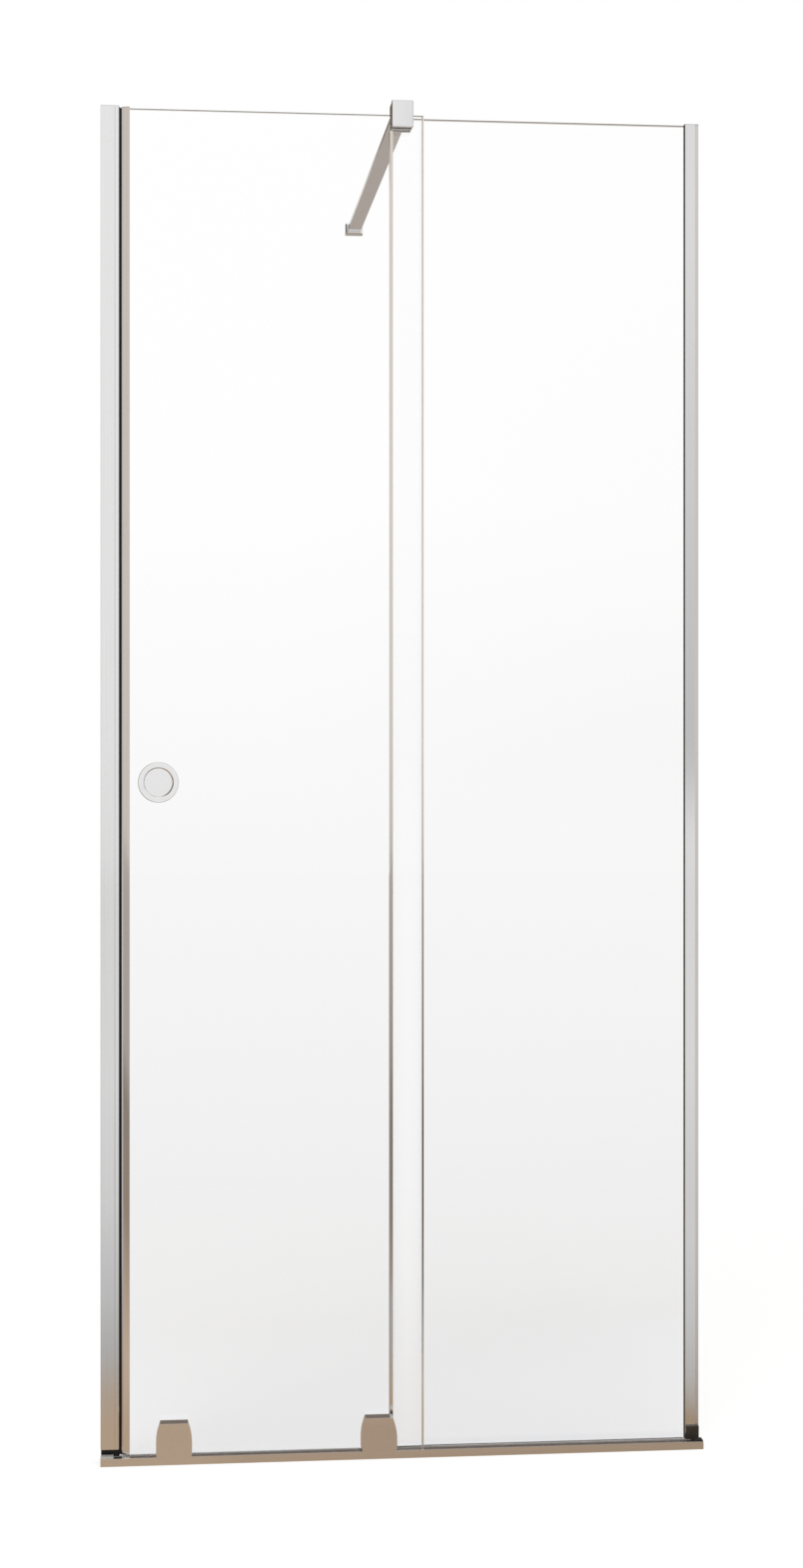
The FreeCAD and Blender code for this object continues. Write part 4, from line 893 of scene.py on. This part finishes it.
def ease_edges(name, width):
    """A merged copy of a CAD node whose sharp edges get a fine rounding."""
    piece = bpy.data.objects.new(name + "_eased", nodes[name].data.copy())
    scene.collection.objects.link(piece)
    settle(piece)
    bpy.ops.object.mode_set(mode="EDIT")
    bpy.ops.mesh.select_all(action="SELECT")
    bpy.ops.mesh.remove_doubles(threshold=MERGE_GAP * MM)
    bpy.ops.mesh.customdata_custom_splitnormals_clear()
    bpy.ops.mesh.dissolve_limited(angle_limit=FLAT_ANGLE)
    settle(piece)
    apply_modifier(
        piece, "BEVEL", width=width * MM, segments=3, limit_method="ANGLE", angle_limit=SHARP_ANGLE)
    smooth_piece(piece)
    hand_over(piece, finish_of(name), node_bodies[name], name)


# Studio, with spans of a direction's X, Y or Z for the room and of metres for the floor

def straight_view(tree):
    """One for what the camera sees directly or through the glass, nought for what metal reflects."""
    path = tree.nodes.new("ShaderNodeLightPath")
    bounced = sums(tree, "ADD", path.outputs["Glossy Depth"], path.outputs["Diffuse Depth"])
    return sums(tree, "LESS_THAN", bounced, 0.5)


DARK_CORNER = (0.11, 0.10, 0.095)
FRONT_WALL_SPAN = (-0.25, 0.25)
FRONT_WALL_SHADES = ((0.0, grey(0.84)), (0.40, grey(0.88)), (0.48, grey(0.92)), (1.0, grey(0.97)))
SKIRTING_FOOT = (-0.04, -0.012)
SKIRTING_RISE = (0.0, 0.2)
SKIRTING_RISE_SHARE = 0.3
SKIRTING_START = (0.05, 0.2)
SKIRTING_SHARE = 0.34
SKIRTING_END = (0.6, 0.45)
WARM_WALL_SPAN = (-0.12, -0.34)
WARM_WALL = (0.70, 0.63, 0.57)
LEFT_WALL_SPAN = (-0.72, -0.92)
LEFT_WALL_SLANT = 0.45
RIGHT_WALL_START = (0.4, 0.9)
RIGHT_WALL_SHARE = 0.6
RIGHT_WALL_END = (0.92, 0.85)
RIGHT_WALL_TOP = (0.5, 0.3)
RIGHT_WALL = (0.25, 0.24, 0.23)
REAR_WALL_SPAN = (0.15, 0.55)
REAR_WALL_TOP = (0.75, 0.5)
REAR_WALL = (0.17, 0.125, 0.095)
DOORWAY_RIGHT = (-0.04, -0.07)
DOORWAY_LEFT = (-0.17, -0.15)
DOORWAY_TOP = (0.235, 0.215)
DOORWAY_LIGHT = (0.80, 0.78, 0.75)


def make_room():
    """A room for the metal to mirror, bright in front and overhead; a straight view sees plain white."""
    room = bpy.data.worlds.new("studio_room")
    scene.world = room
    room.use_nodes = True
    tree = room.node_tree
    direction = tree.nodes.new("ShaderNodeTexCoord").outputs["Generated"]
    across, depth, height = split_axes(tree, direction)
    walls = shade_along(tree, scaled_range(tree, height, FRONT_WALL_SPAN), *FRONT_WALL_SHADES)
    skirting = product(
        tree, scaled_range(tree, height, SKIRTING_FOOT),
        scaled_range(tree, height, SKIRTING_RISE, 1.0, SKIRTING_RISE_SHARE),
        scaled_range(tree, across, SKIRTING_START, high=SKIRTING_SHARE),
        scaled_range(tree, across, SKIRTING_END))
    walls = mix_colours(tree, skirting, walls, BLACK)
    walls = mix_colours(tree, scaled_range(tree, across, WARM_WALL_SPAN), walls, WARM_WALL)
    slant = sums(tree, "MULTIPLY", sums(tree, "MAXIMUM", height, 0.0), LEFT_WALL_SLANT)
    left = scaled_range(tree, sums(tree, "SUBTRACT", across, slant), LEFT_WALL_SPAN)
    walls = mix_colours(tree, left, walls, DARK_CORNER)
    right = product(
        tree, scaled_range(tree, across, RIGHT_WALL_START, high=RIGHT_WALL_SHARE),
        scaled_range(tree, across, RIGHT_WALL_END), scaled_range(tree, height, RIGHT_WALL_TOP))
    walls = mix_colours(tree, right, walls, RIGHT_WALL)
    rear = product(
        tree, scaled_range(tree, depth, REAR_WALL_SPAN), scaled_range(tree, height, REAR_WALL_TOP))
    walls = mix_colours(tree, rear, walls, REAR_WALL)
    doorway = product(
        tree, rear, scaled_range(tree, across, DOORWAY_RIGHT), scaled_range(tree, across, DOORWAY_LEFT),
        scaled_range(tree, height, DOORWAY_TOP))
    walls = mix_colours(tree, doorway, walls, DOORWAY_LIGHT)
    colour = mix_colours(tree, straight_view(tree), walls, WHITE)
    join(tree, colour, tree.nodes["Background"].inputs["Color"])


FLOOR_SIDE = 30.0
FLOOR_DROP = 0.0004
AHEAD_SPAN = (0.0, -4.0)
PAPER_SHADES = (
    (0.06, (0.52, 0.39, 0.28)), (0.10, (0.50, 0.41, 0.33)), (0.17, (0.50, 0.49, 0.48)),
    (0.27, grey(0.60)), (0.52, grey(0.75)), (1.0, grey(0.82)))
RIGHT_PAPER_SHADES = (
    (0.05, (0.59, 0.52, 0.465)), (0.085, (0.535, 0.51, 0.485)), (0.10, (0.56, 0.545, 0.53)),
    (0.19, grey(0.65)), (0.36, grey(0.725)), (0.57, grey(0.745)), (1.0, grey(0.83)))
RIGHT_PAPER_START = (0.42, 0.50)
RIGHT_PAPER_BACK = (-0.12, -0.2)
STONE_SHADES = (
    (0.06, (0.56, 0.43, 0.32)), (0.14, (0.60, 0.46, 0.35)), (0.40, (0.345, 0.27, 0.21)),
    (0.75, (0.305, 0.25, 0.205)), (1.0, (0.48, 0.425, 0.38)))
STONE_SPAN = (-0.48, -0.62)
STONE_SPLAY = 0.03
FAR_LEFT_SPAN = (-1.0, -3.0)
FAR_LEFT_SLANT = 1.2
FAR_LEFT_SHARE = 0.75
REAR_FLOOR_SPAN = (0.2, 1.0)
REAR_FLOOR = (0.47, 0.41, 0.36)
NEAR_SPAN = (-0.34, -0.2)
NEAR_STEP = (-0.31, -0.24)
NEAR_SLOPE = (-0.25, 0.5)
NEAR_DIMMING = 0.10
SHADOW_FADE = (0.9, 2.2)
SHADOW_TONE = grey(0.40)
FLOOR_GLOW = grey(0.74)


def mirrored_ground(tree, place):
    """The floor as the metal mirrors it: pale paper in front, warm stone at the left and behind."""
    across, depth, _ = split_axes(tree, place)
    ahead = scaled_range(tree, depth, AHEAD_SPAN)
    paper = shade_along(tree, ahead, *PAPER_SHADES)
    right_paper = shade_along(tree, ahead, *RIGHT_PAPER_SHADES)
    far_right = product(
        tree, scaled_range(tree, across, RIGHT_PAPER_START), scaled_range(tree, depth, RIGHT_PAPER_BACK))
    ground = mix_colours(tree, far_right, paper, right_paper)
    splay = sums(tree, "MULTIPLY", depth, STONE_SPLAY)
    beside = scaled_range(tree, sums(tree, "SUBTRACT", across, splay), STONE_SPAN)
    ground = mix_colours(tree, beside, ground, shade_along(tree, ahead, *STONE_SHADES))
    slant = sums(tree, "MULTIPLY", depth, FAR_LEFT_SLANT)
    far_left = scaled_range(
        tree, sums(tree, "SUBTRACT", across, slant), FAR_LEFT_SPAN, high=FAR_LEFT_SHARE)
    ground = mix_colours(tree, far_left, ground, DARK_CORNER)
    ground = mix_colours(tree, scaled_range(tree, depth, REAR_FLOOR_SPAN), ground, REAR_FLOOR)
    dimming = sums(
        tree, "ADD", scaled_range(tree, across, NEAR_STEP, high=NEAR_DIMMING),
        scaled_range(tree, across, NEAR_SLOPE, high=NEAR_DIMMING))
    near = scaled_range(tree, depth, NEAR_SPAN)
    return mix_colours(tree, product(tree, near, dimming), ground, BLACK)


def make_floor():
    """A white floor that keeps the door's shadow and fades into the white behind."""
    bpy.ops.object.select_all(action="DESELECT")
    bpy.ops.mesh.primitive_plane_add(size=FLOOR_SIDE, location=(0.0, 0.0, -FLOOR_DROP))
    floor = bpy.context.object
    floor.name = "studio_floor"
    material, tree, shader = start_finish("studio_floor_finish")
    place = object_place(tree)
    spread = tree.nodes.new("ShaderNodeVectorMath")
    spread.operation = "LENGTH"
    join(tree, place, spread.inputs[0])
    far = scaled_range(tree, spread.outputs["Value"], SHADOW_FADE)
    straight = straight_view(tree)
    shaded = shade_between(tree, far, SHADOW_TONE, BLACK)
    glow = shade_between(tree, far, FLOOR_GLOW, WHITE)
    join(tree, mix_colours(tree, straight, BLACK, shaded), shader.inputs["Base Color"])
    own_light = mix_colours(tree, straight, mirrored_ground(tree, place), glow)
    join(tree, own_light, shader.inputs["Emission Color"])
    shader.inputs["Emission Strength"].default_value = 1.0
    shader.inputs["Roughness"].default_value = 1.0
    shader.inputs["Specular IOR Level"].default_value = 0.0
    floor.data.materials.append(material)


def make_lamp(name, place, aim, side, power):
    """A soft square lamp that the metal doesn't mirror."""
    bpy.ops.object.light_add(type="AREA", location=place)
    lamp = bpy.context.object
    lamp.name = name
    lamp.data.size = side
    lamp.data.energy = power
    lamp.rotation_euler = (Vector(aim) - Vector(place)).to_track_quat("-Z", "Y").to_euler()
    lamp.visible_glossy = False
    lamp.visible_transmission = False


SENSOR_WIDTH = 36.0
CAMERA_PLACE = (-0.3746, -3.6571, 1.0773)
CAMERA_TURN = math.radians(-5.79)
CAMERA_LENS = 56.475
CAMERA_SHIFT = -0.0329


def make_camera():
    """An upright camera at the photograph's place, turned to the door and shifted to its framing."""
    bpy.ops.object.camera_add(location=CAMERA_PLACE, rotation=(math.radians(90.0), 0.0, CAMERA_TURN))
    camera = bpy.context.object
    camera.name = "photo_camera"
    camera.data.sensor_width = SENSOR_WIDTH
    camera.data.lens = CAMERA_LENS
    camera.data.shift_y = CAMERA_SHIFT
    scene.camera = camera


finish_cad_nodes()
model_clamp_cover()
model_carriage_shell("left")
model_carriage_shell("right")
model_front_pull()
model_rear_pull()
model_lock_screws()
model_carriage_screws()
model_grub_screws()
for name, width in EASED_EDGES.items():
    ease_edges(name, width)
make_room()
make_floor()
make_lamp("front_softbox", place=(-1.6, -2.6, 3.4), aim=(0.0, 0.0, 0.8), side=2.2, power=45.0)
make_camera()
scene.view_settings.view_transform = "Standard"
